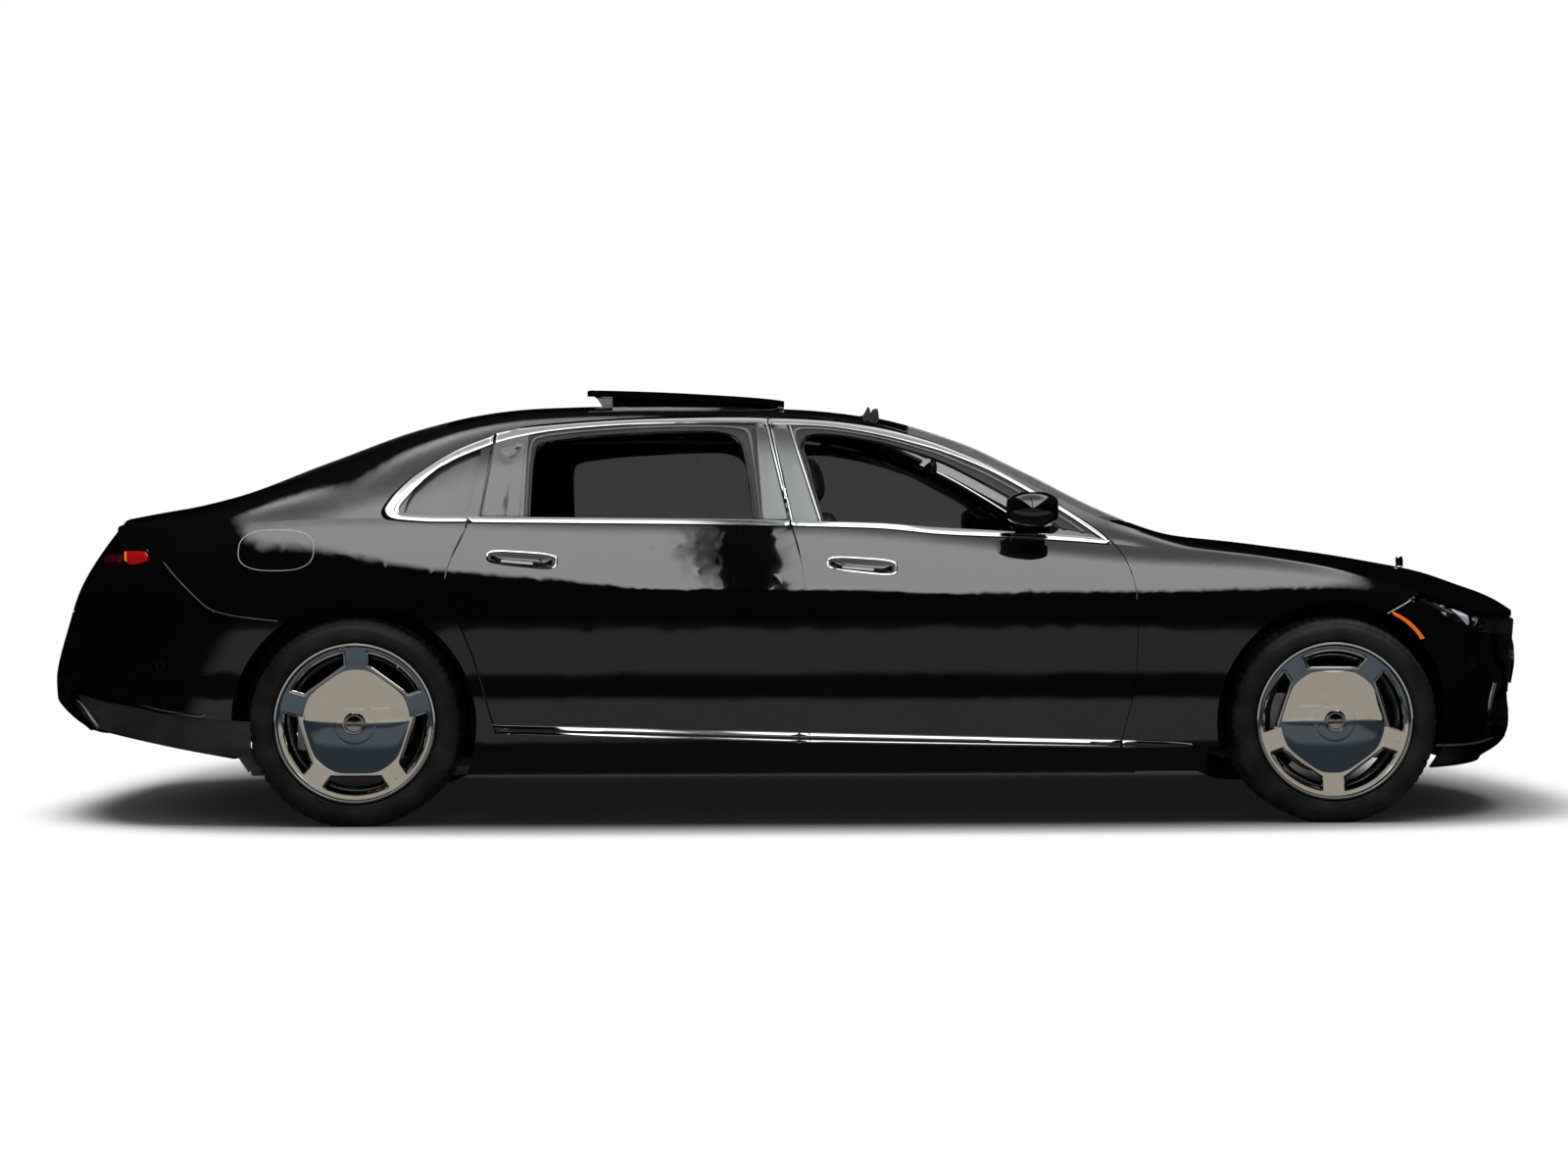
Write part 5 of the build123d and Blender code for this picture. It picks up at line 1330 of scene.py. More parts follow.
    def sills(self) -> None:
        """Two bright lines along the sill with a dark groove between them."""
        f = self.finishes
        parts = ((self.rear, -1.229, -0.177), (self.front, -0.170, 0.941), ("root", 0.948, 1.19))
        for index, (body, first, last) in enumerate(parts):
            top, low = cut(self.SILL_TOP, first, last), cut(self.SILL_LOW, max(first, -1.19), last)
            pairs = list(zip(Track(top).even(5), Track(low).even(5)))
            middle, lower = ([((a[0] + b[0]) / 2, a[1] * (1 - share) + b[1] * share) for a, b in pairs]
                             for share in (0.58, 0.8))
            for name, upper, under, material, crown, thickness, slot in (
                ("sill_strip", top, middle, f.chrome, 0.004, 0.007, Slot.CHROME),
                ("sill_groove", middle, lower, f.black_glass, 0.0, 0.002, Slot.PAINT),
                ("sill_edge", lower, low, f.chrome, 0.001, 0.006, Slot.CHROME),
            ):
                self.strip(f"{name}_{index}", body, upper, under, material, columns=30, crown=crown,
                           thickness=thickness, slot=slot)

    def frames(self) -> None:
        """Dark frames of the window openings with their lips, and the corner panel behind the rear window."""
        f = self.finishes
        for name, body, out, inner in (
            ("rear_frame", self.rear, self.REAR_FRAME_OUT, self.REAR_FRAME_IN),
            ("front_frame", self.front, self.FRONT_FRAME_OUT, self.FRONT_FRAME_IN),
        ):
            self.strip(name, body, out, inner, f.seal, columns=96, rows=5, thickness=0.0012, crown=0.0,
                       lift=0.0004, slot=Slot.PLASTIC)
            lips = ((0.10, 0.20, f.gloss_plastic), (0.62, 0.74, f.seal_grey))
            for index, (near, wide, material) in enumerate(lips):
                bands = [[between(a, b, share) for a, b in zip(inner, out)] for share in (wide, near)]
                self.strip(f"{name}_lip_{index}", body, *bands, material, columns=96, rows=3,
                           thickness=0.0035, crown=0.0012, slot=Slot.PLASTIC)
        left = ((-1.2435, 1.345), (-1.251, 1.28), (-1.264, 1.18), (-1.279, 1.0665))
        right = ((-1.127, 1.362), (-1.128, 1.28), (-1.128, 1.18), (-1.128, 1.0655))
        self.strip("corner_panel", self.rear, left, right, f.quarter_pane, columns=24, rows=10,
                   thickness=0.0022, crown=0.001, slot=Slot.PAINT)

    def pillar_panels(self) -> None:
        """Satin panels beside the shut line between the doors, with bright edges."""
        f = self.finishes
        for name, body, left, right in (
            ("rear", self.rear, ((-0.327, 1.404), (-0.303, 1.057)), ((-0.294, 1.404), (-0.212, 1.057))),
            ("front", self.front, ((-0.269, 1.402), (-0.196, 1.048)), ((-0.214, 1.398), (-0.104, 1.048))),
        ):
            self.skin.strip(f"pillar_panel_{name}", body, right, left, f.satin, rows=8, thickness=0.0022,
                            crown=0.0015)
        for name, body, line in (
            ("rear", self.rear, ((-0.291, 1.404), (-0.209, 1.057))),
            ("front", self.front, ((-0.277, 1.404), (-0.200, 1.048))),
            ("window", self.front, ((-0.211, 1.398), (-0.101, 1.048))),
        ):
            wide = [(x + 0.006, z) for x, z in line]
            self.skin.strip(f"pillar_edge_{name}", body, wide, line, f.chrome, thickness=0.004)


@dataclass
class DoorHandle:
    """Flush handle: a bright-rimmed recess and a bar that stands in it."""

    hand: Hand
    finishes: Finishes
    skin: Skin
    length: float = 0.236
    height: float = 0.058
    drop: float = 0.020

    def outline(self, centre: Point, grow: float, count: int = 36) -> list[Point]:
        """Long rounded outline, lower towards the front.

        Args:
            centre: its middle.
            grow: how far it is enlarged.
            count: points around.

        Returns:
            The outline.
        """
        points = []
        for i in range(count):
            c, s = rounded(2 * math.pi * i / count, 0.5)
            x = c * (self.length / 2 + grow)
            z = s * (self.height / 2 + grow) * (0.82 + 0.18 * x / self.length)
            points.append((centre[0] + x, centre[1] + z - self.drop * x / self.length))
        return points

    def rim(self, centre: Point) -> tuple[list[Point], list[Point]]:
        """Outlines of the bright rim, wide above and narrow below.

        Args:
            centre: the handle's middle.

        Returns:
            The inner and the outer outline.
        """
        inner, outer = self.outline(centre, -0.001), self.outline(centre, 0.0045)
        grown = []
        for i, (a, b) in enumerate(zip(inner, outer)):
            turn = 2 * math.pi * i / len(inner)
            share = 0.35 + 0.9 * math.sin(turn) + 0.5 * math.cos(turn)
            grown.append(between(a, b, max(0.14, min(1.0, share))))
        return inner, grown

    def build(self, name: str, body: str, centre: Point) -> None:
        """Builds the handle.

        Args:
            name: start of its pieces' names.
            body: the door that it rides.
            centre: its middle in the side view.
        """
        h, f = self.hand.word, self.finishes
        shape = self.outline(centre, 0.0)
        # The recess is a flat dark sheet laid on the skin: painted shade in place of the hollow.
        self.skin.ring(f"{name}_recess_{h}", body, [centre] * len(shape), shape, f.gloss_plastic, Slot.PAINT,
                       rows=5, lift=0.0008, thickness=0.0012)
        self.skin.ring(f"{name}_rim_{h}", body, *self.rim(centre), f.chrome, Slot.CHROME, rows=3, lift=0.0006,
                       thickness=0.0035, crown=0.0016)

        def blade(u: float, v: float) -> Spot:
            """Point of the bar's flat sheet."""
            x = (u - 0.5) * self.length * 0.9
            half = self.height * (0.27 + 0.07 * (u - 0.5)) * (1 - (2 * abs(u - 0.5)) ** 6 * 0.45)
            middle = centre[1] + 0.004 - self.drop * x / self.length
            return self.skin.flat(centre[0] + x, middle + (2 * v - 1) * half)

        def belly(u: float, v: float) -> float:
            """How far the bar stands out."""
            return 0.001 + 0.012 * math.sin(math.pi * v) ** 0.6 * (1 - (2 * abs(u - 0.5)) ** 8)

        grip = Bench.surface(f"{name}_bar_{h}", 28, 8, blade)
        self.skin.lay(grip, 0.004)
        self.skin.swell(grip, 28, 8, belly)
        grip.data.transform(Matrix.Translation((0, 0, -0.006)))
        Bench.face_out(grip)
        self.skin.outwards(grip)
        Bench.apply(grip, "SOLIDIFY", thickness=0.006, offset=-1.0)
        Bench.apply(grip, "BEVEL", width=0.0012, segments=2, limit_method="ANGLE", angle_limit=0.7)
        Bench.finish(grip, body, f.black_glass, Slot.PAINT)

        def top_line(u: float, v: float) -> Spot:
            """Point of the bright line on the bar."""
            x = (u - 0.62) * self.length * 0.46
            return self.skin.flat(centre[0] + x, centre[1] - 0.0065 - self.drop * x / self.length - 0.009 * v)

        line = Bench.surface(f"{name}_line_{h}", 24, 2, top_line)
        self.skin.lay(line, 0.0172)
        Bench.face_out(line)
        self.skin.sheet(line, body, f.dark_chrome, Slot.CHROME, 0.0015)


@dataclass
class SmallTrim:
    """Painted highlight around the fuel flap, sensors and side markers."""

    hand: Hand
    finishes: Finishes
    skin: Skin

    def build(self) -> None:
        """Builds the pieces of this side."""
        f, h = self.finishes, self.hand.word
        if self.hand is Hand.RIGHT:
            flap = [rounded(2 * math.pi * i / 64, 0.72) for i in range(64)]
            flap = [(-1.967 + 0.128 * c, 0.949 + 0.069 * s) for c, s in flap]
            # A light grey band along the flap's edge: a painted highlight.
            self.loop("fuel_flap_highlight", flap, 0.0028, 0.0002, f.seal_edge_bright, Slot.PAINT, 0.0004)
        upper = ((1.893, 0.738), (1.93, 0.722), (1.97, 0.696), (2.003, 0.664), (2.022, 0.642))
        lower = ((1.906, 0.724), (1.938, 0.706), (1.968, 0.682), (1.996, 0.654), (2.005, 0.638))
        self.skin.strip("side_marker", "root", upper, lower, f.amber, Slot.LENS, columns=28, rows=4,
                        edge=0.0008, crown=0.002)
        for index, (x, z) in enumerate(((-2.36, 0.553), (2.23, 0.55))):
            turns = [math.pi * i / 10 for i in range(20)]
            shape = [(x + 0.012 * math.cos(turn), z + 0.012 * math.sin(turn)) for turn in turns]
            self.loop(f"sensor_ring_{index}_{h}", shape, 0.0014, 0.0003, f.seal, Slot.PLASTIC, 0.0008)

    def loop(self, name: str, shape: Sequence[Point], width: float, lift: float, material: Material,
             slot: Slot, thickness: float) -> None:
        """Closed narrow band laid on the skin around a shape.

        Args:
            name: the piece's name.
            shape: outline of its inner edge.
            width: its width.
            lift: its distance from the skin.
            material: its finish.
            slot: the record's slot.
            thickness: its thickness.
        """
        centre = sum((Vector(p) for p in shape), Vector((0, 0))) / len(shape)
        outer = [tuple(Vector(p) + (Vector(p) - centre).normalized() * width) for p in shape]
        self.skin.ring(name, "root", shape, outer, material, slot, rows=1, lift=lift, thickness=thickness)


# ---- Wheels ----
@dataclass
class RoadWheel:
    """Dished wheel with five slots, its brake disc and its tyre."""

    end: str
    hand: Hand
    finishes: Finishes
    chord: float = 0.674
    crease: float = 0.645
    spoke: float = 0.1455
    spoke_turn: float = 12.0
    pitches: int = 74

    DISH: ClassVar = (
        (0.0, 0.0), (0.15, -0.0005), (0.252, -0.0035), (0.258, -0.0052), (0.27, -0.0055), (0.35, -0.0085),
        (0.45, -0.0138), (0.54, -0.0198), (0.60, -0.025), (0.635, -0.0288), (0.655, -0.032), (0.664, -0.0328),
        (0.68, -0.0324), (0.74, -0.028), (0.82, -0.0215), (0.90, -0.0155), (0.945, -0.0125), (0.958, -0.0118),
        (0.966, -0.009), (0.978, -0.0045), (1.0, -0.004))
    RINGS: ClassVar = (
        0.0, 0.07, 0.15, 0.21, 0.252, 0.258, 0.27, 0.33, 0.41, 0.49, 0.56, 0.61, 0.645, 0.6575, 0.664, 0.68,
        0.708, 0.722, 0.738, 0.76, 0.79, 0.82, 0.85, 0.878, 0.898, 0.918, 0.935, 0.95, 0.958, 0.966, 0.982, 1.0)
    STEPS: ClassVar = (
        -2.0, -1.72, -1.46, -1.27, -1.13, -1.0, -0.9, -0.75, -0.5, -0.25, 0.0, 0.25, 0.5, 0.75, 0.9, 1.0, 1.13,
        1.27, 1.46, 1.72, 2.0)
    SLOT_INNER: ClassVar = 0.738
    SLOT_OUTER: ClassVar = 0.898

    def measure(self) -> None:
        """Reads the sizes from the CAD boxes."""
        self.name = f"{self.end}_{self.hand.word}"
        self.body = f"wheel_{self.name}"
        low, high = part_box(f"tyre_{self.name}")
        ends = [corner.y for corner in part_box(self.body)]
        inner, outer = ends[::self.hand.value]
        self.tyre_radius = (high.x - low.x) / 2
        self.tyre_half = (high.y - low.y) / 2
        self.centre = Vector(((low.x + high.x) / 2, (low.y + high.y) / 2, high.z - self.tyre_radius))
        rim_low, rim_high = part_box(self.body)
        self.rim_radius = (rim_high.x - rim_low.x) / 2
        self.face = abs(outer - self.centre.y)
        self.back = -abs(inner - self.centre.y)
        self.start = -90.0 if self.end == "rear" else 90.0

    def at(self, radius: float, out: float, turn: float) -> Vector:
        """Point at a radius, an outboard distance and an angle in radians."""
        c = self.centre
        return Vector((c.x + radius * math.cos(turn), c.y + self.hand.value * out, c.z + radius * math.sin(turn)))

    def depth_at(self, share: float) -> float:
        """Outboard place of the dish at a share of the rim's radius."""
        for (a, da), (b, db) in zip(self.DISH, self.DISH[1:]):
            if share <= b:
                return self.face + da + (db - da) * (share - a) / (b - a)
        return self.face + self.DISH[-1][1]

    def spot(self, ring: float, across: float) -> tuple[float, float]:
        """Radius share and angle, from a slot's middle, of a point of one fifth of the dish.

        Args:
            ring: nominal share of the radius.
            across: from -2 (one spoke's middle) through -1 and 1 (the slot's sides) to 2.

        Returns:
            The share of the radius and the angle in degrees.
        """
        fifth = 36.0
        width = min(self.spoke / max(ring, 0.01), math.sin(math.radians(self.spoke_turn)))
        side = fifth - math.degrees(math.asin(width))
        turn = across * side
        if abs(across) > 1:
            turn = math.copysign(side + (abs(across) - 1) * (fifth - side), across)
        if ring <= 0.45 or ring >= 0.80:
            return ring, turn
        limit, nominal, middle = (14.0, 0.664, self.crease) if ring <= 0.665 else (24.0, 0.738, self.chord)
        shape = middle / math.cos(math.radians(min(abs(turn), limit))) / nominal
        share = min(1.0, (ring - 0.45) / 0.205)
        if ring > 0.745:
            share = 1 - (ring - 0.745) / 0.055
        return ring * (1 + (shape - 1) * share), turn

    def sector(self) -> Piece:
        """One fifth of the dish, with its slot cut through."""
        inner, outer = (self.RINGS.index(ring) for ring in (self.SLOT_INNER, self.SLOT_OUTER))
        first, last = (self.STEPS.index(step) for step in (-1.0, 1.0))
        rows, columns = len(self.RINGS) - 1, len(self.STEPS) - 1

        def place(u: float, v: float) -> Vector:
            """Point of the dish."""
            row, column = round(v * rows), round(u * columns)
            share, turn = self.spot(self.RINGS[row], self.STEPS[column])
            depth = self.depth_at(self.RINGS[row])
            if inner <= row <= outer and first <= column <= last:
                depth -= 0.0045
            return self.at(share * self.rim_radius, depth, math.radians(self.start + turn))

        made = Bench.surface(f"dish_sector_{self.name}", columns, rows, place)
        shape = bmesh.new()
        shape.from_mesh(made.data)
        shape.faces.ensure_lookup_table()
        slot = [shape.faces[row * columns + column] for row in range(inner, outer)
                for column in range(first, last)]
        bmesh.ops.delete(shape, geom=slot, context="FACES")
        shape.to_mesh(made.data)
        shape.free()
        return made

    def dish(self) -> Piece:
        """The whole dish: five sectors, slot walls and a rounded finish."""
        pieces = [self.sector()]
        for index in range(1, 5):
            twin = Bench.copy_of(pieces[0], f"dish_copy_{index}")
            turn = Matrix.Rotation(math.radians(-72 * index), 4, "Y")
            twin.data.transform(Matrix.Translation(self.centre) @ turn @ Matrix.Translation(-self.centre))
            pieces.append(twin)
        made = Bench.tidy(Bench.join(f"wheel_dish_{self.name}", pieces), 0.0001)
        Bench.orient(made, lambda face: self.hand.value * face.normal.y)

        def turn_in(depth: float) -> object:
            """Draws the open edges inboard."""
            way = (0, -self.hand.value * depth, 0)
            return bpy.ops.mesh.extrude_edges_move(TRANSFORM_OT_translate={"value": way})

        Bench.edit(
            made,
            lambda: bpy.ops.mesh.select_mode(type="EDGE"),
            lambda: bpy.ops.mesh.select_non_manifold(),
            lambda: turn_in(0.006),
            lambda: turn_in(0.012),
            lambda: turn_in(0.012),
            select="DESELECT",
        )
        return Bench.apply(made, "SUBSURF", levels=2, render_levels=2)

    def build(self) -> list[Piece]:
        """Builds the wheel and its tyre.

        Returns:
            Its polished pieces.
        """
        self.measure()
        f, place = self.finishes, tuple(self.centre)
        alloy = Turned(f"polished_alloy_{self.name}", (0.23, 0.27, 0.31, 1.0), place, 0.035, 0.002, 0.000003)
        steel = Turned(f"disc_steel_{self.name}", (0.42, 0.41, 0.4, 1.0), place, 0.28, 0.0016, 0.00002)
        alloy, steel = alloy.build(), steel.build()
        dish = Bench.finish(self.dish(), self.body, alloy, Slot.ALLOY, 50)
        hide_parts(self.body)
        polished = [dish]
        r, face, back = self.rim_radius, self.face, self.back
        disc, seat = (0.194, face - 0.106) if self.end == "front" else (0.180, face - 0.13)
        for name, steps, material, slot, profile in (
            ("rim_barrel", 96, alloy, Slot.ALLOY, (
                (r - 0.012, face - 0.02), (r, face - 0.0065), (r, face - 0.001), (r - 0.003, face),
                (r - 0.0075, face - 0.001), (r - 0.011, face - 0.006), (r - 0.017, face - 0.03),
                (r - 0.026, face - 0.06), (r - 0.026, back + 0.02), (r - 0.015, back + 0.004), (r - 0.002, back),
                (r, back + 0.003), (r - 0.006, back + 0.012), (r - 0.019, back + 0.03), (r - 0.019, face - 0.05))),
            ("brake_disc", 96, steel, Slot.METAL, (
                (0.075, seat - 0.004), (disc - 0.002, seat - 0.004), (disc, seat - 0.006), (disc, seat - 0.012),
                (disc - 0.006, seat - 0.013), (disc - 0.006, seat - 0.019), (disc, seat - 0.02),
                (disc, seat - 0.027), (disc - 0.002, seat - 0.029), (0.075, seat - 0.029))),
            ("hub_bell", 48, f.cast, Slot.METAL, (
                (0.03, face - 0.04), (0.082, face - 0.04), (0.088, face - 0.045), (0.088, seat - 0.006),
                (0.07, seat - 0.03), (0.03, seat - 0.03))),
            ("centre_cap", 64, f.chrome, Slot.ALLOY, (
                (0.0005, face + 0.0062), (0.014, face + 0.006), (0.026, face + 0.005), (0.027, face + 0.0036),
                (0.0295, face + 0.0036), (0.0305, face + 0.0052), (0.0355, face + 0.005), (0.0385, face + 0.0024),
                (0.039, face - 0.004), (0.0005, face - 0.004))),
            ("slot_barrel", 96, f.lamp_grey, Slot.ALLOY, (
                (r * 0.80, face - 0.05), (r * 0.845, face - 0.034), (r * 0.855, face - 0.032),
                (r * 0.858, face - 0.036), (r * 0.85, face - 0.040), (r * 0.808, face - 0.056))),
        ):
            made = Bench.turned(f"{name}_{self.name}", self.centre, profile, self.hand, steps)
            Bench.finish(made, self.body, material, slot)
            if material == alloy:
                polished.append(made)
        Bench.finish(self.bevels(), self.body, f.chrome, Slot.ALLOY)
        self.valve()
        self.tyre()
        return polished

    def bevels(self) -> Piece:
        """Polished edges around the five slots."""
        steps = (-1.0, -0.9, -0.7, -0.35, 0.0, 0.35, 0.7, 0.9, 1.0)
        walk = [(self.SLOT_INNER, step) for step in steps] + [(0.80, 1.0), (0.86, 1.0)]
        walk += [(self.SLOT_OUTER, step) for step in reversed(steps)]
        walk += [(0.86, -1.0), (0.80, -1.0), (self.SLOT_INNER, -1.0)]
        loops = []
        for index in range(5):
            points = []
            for ring, step in walk:
                share, turn = self.spot(ring, step)
                turn = math.radians(self.start + 72 * index + turn)
                points.append(self.at(share * self.rim_radius, self.depth_at(ring) - 0.0035, turn))
            loops.append(Bench.bar(f"slot_edge_{index}", points, 0.0036, smooth=2))
        return Bench.join(f"slot_edges_{self.name}", loops)

    def valve(self) -> None:
        """Valve stem in one of the slots."""
        turn = math.radians(-18 if self.end == "front" else -54)
        outwards = Vector((math.cos(turn), 0, math.sin(turn)))
        out = Vector((0, self.hand.value, 0))
        base = self.centre + outwards * (self.rim_radius - 0.028) + out * (self.face - 0.045)
        lean = outwards * -0.012
        path = [base, base + out * 0.012 + lean * 0.4, base + out * 0.026 + lean]
        made = Bench.bar(f"valve_{self.name}", path, 0.0032, smooth=2)
        Bench.finish(made, self.body, self.finishes.seal, Slot.TYRE)

    def tyre(self) -> None:
        """Tyre with its sidewall rings, grooves and cut shoulders."""
        half, outer, bead = self.tyre_half, self.tyre_radius, self.rim_radius
        right = [
            (bead - 0.012, half - 0.03), (bead + 0.002, half - 0.0285), (bead + 0.0055, half - 0.0215),
            (bead + 0.008, half - 0.013), (bead + 0.013, half - 0.0085), (bead + 0.0145, half - 0.0098),
            (bead + 0.0155, half - 0.0072), (bead + 0.024, half - 0.003), (bead + 0.035, half - 0.0005),
            (bead + 0.046, half - 0.001), (bead + 0.0475, half - 0.0022), (bead + 0.049, half - 0.0015),
            (outer - 0.029, half - 0.0045), (outer - 0.0225, half - 0.0078), (outer - 0.021, half - 0.0066),
            (outer - 0.012, half - 0.0125), (outer - 0.006, half - 0.0195), (outer - 0.0025, half - 0.028),
            (outer - 0.0008, half - 0.043)]
        for at in (0.58 * half, 0.2 * half):
            right += [(outer - 0.0004, at + 0.0055), (outer - 0.0075, at + 0.0035),
                      (outer - 0.0075, at - 0.0035), (outer - 0.0002, at - 0.0055)]
        profile = right + [(radius, -out) for radius, out in reversed(right)]
        rows, columns = len(profile) - 1, self.pitches * 4

        def place(u: float, v: float) -> Vector:
            """Point of the tyre's skin."""
            index, step = round(v * rows), round(u * columns) % columns
            radius, out = profile[index]
            edge = min(index, rows - index)
            if step % 4 == 0 and 13 <= edge <= 19 or step % 4 == 2 and edge in (22, 23):
                radius -= 0.0034 if edge > 13 else 0.0014
            skew = 0.35 * (half - abs(out)) / half * (2 * math.pi / self.pitches) * 3
            spot = self.at(radius, out, 2 * math.pi * step / columns + skew)
            spot.z = max(spot.z, 0.0008)
            return spot

        made = Bench.tidy(Bench.surface(f"tyre_skin_{self.name}", columns, rows, place), 0.00002)
        Bench.orient(made, lambda face: (face.center - self.centre).dot(face.normal))
        Bench.finish(made, self.body, self.finishes.tread, Slot.TYRE, 32)
        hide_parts(f"tyre_{self.name}")


# ---- Cabin ----
@dataclass
class Pad:
    """Upholstered pad with a crowned face, side bolsters and sewn channels."""

    name: str
    half: Spot
    face: int
    channels: int = 0
    bolster: float = 0.0
    crown: float = 0.014
    cuts: int = 54
    power: float = 6.5
    seam: float = 0.66

    def sunk(self, along: float, side: float) -> float:
        """Depth of the pad's face below its highest plane.

        Args:
            along: place along the pad, from -1 to 1.
            side: distance from its middle, from 0 to 1.

        Returns:
            The depth.
        """
        depth = self.crown * (along ** 2 + 0.6 * side ** 4) / 1.6
        if self.bolster:
            depth += self.bolster * max(0.0, 1 - (side / self.seam) ** 5)
            depth += 0.010 * math.exp(-((side - self.seam) / 0.035) ** 2)
        if self.channels and side < self.seam:
            rib = abs(math.sin(math.pi * self.channels * (along + 1) / 2))
            depth += 0.011 * (1 - rib) ** 2.2 * min(1.0, (self.seam - side) * 9)
        return depth

    def build(self, place: Matrix) -> Piece:
        """Shapes the pad.

        Args:
            place: where its middle stands, and how it leans.

        Returns:
            The new object, with its middle panel in the second material slot.
        """
        made = Bench.primitive(self.name, "cube", size=2)
        Bench.edit(made, lambda: bpy.ops.mesh.subdivide(number_cuts=self.cuts))
        face, run = self.face, 2 - self.face
        for vertex in made.data.vertices:
            c = vertex.co
            c /= sum(abs(t) ** self.power for t in c) ** (1 / self.power)
            along, side = c[run], abs(c.y)
            spot = [c[i] * self.half[i] for i in range(3)]
            spot[1] *= 1 - 0.035 * (1 - along * along) * side
            if c[face] > 0:
                spot[face] -= min(1.0, c[face] * 1.4) * self.sunk(along, side)
            vertex.co = Vector(spot)
        for polygon in made.data.polygons:
            middle = polygon.center
            inside = abs(middle.y) < self.seam * self.half[1] and middle[face] > 0.4 * self.half[face]
            polygon.material_index = int(bool(self.bolster) and inside)
        made.data.transform(place)
        made.data.update()
        return made


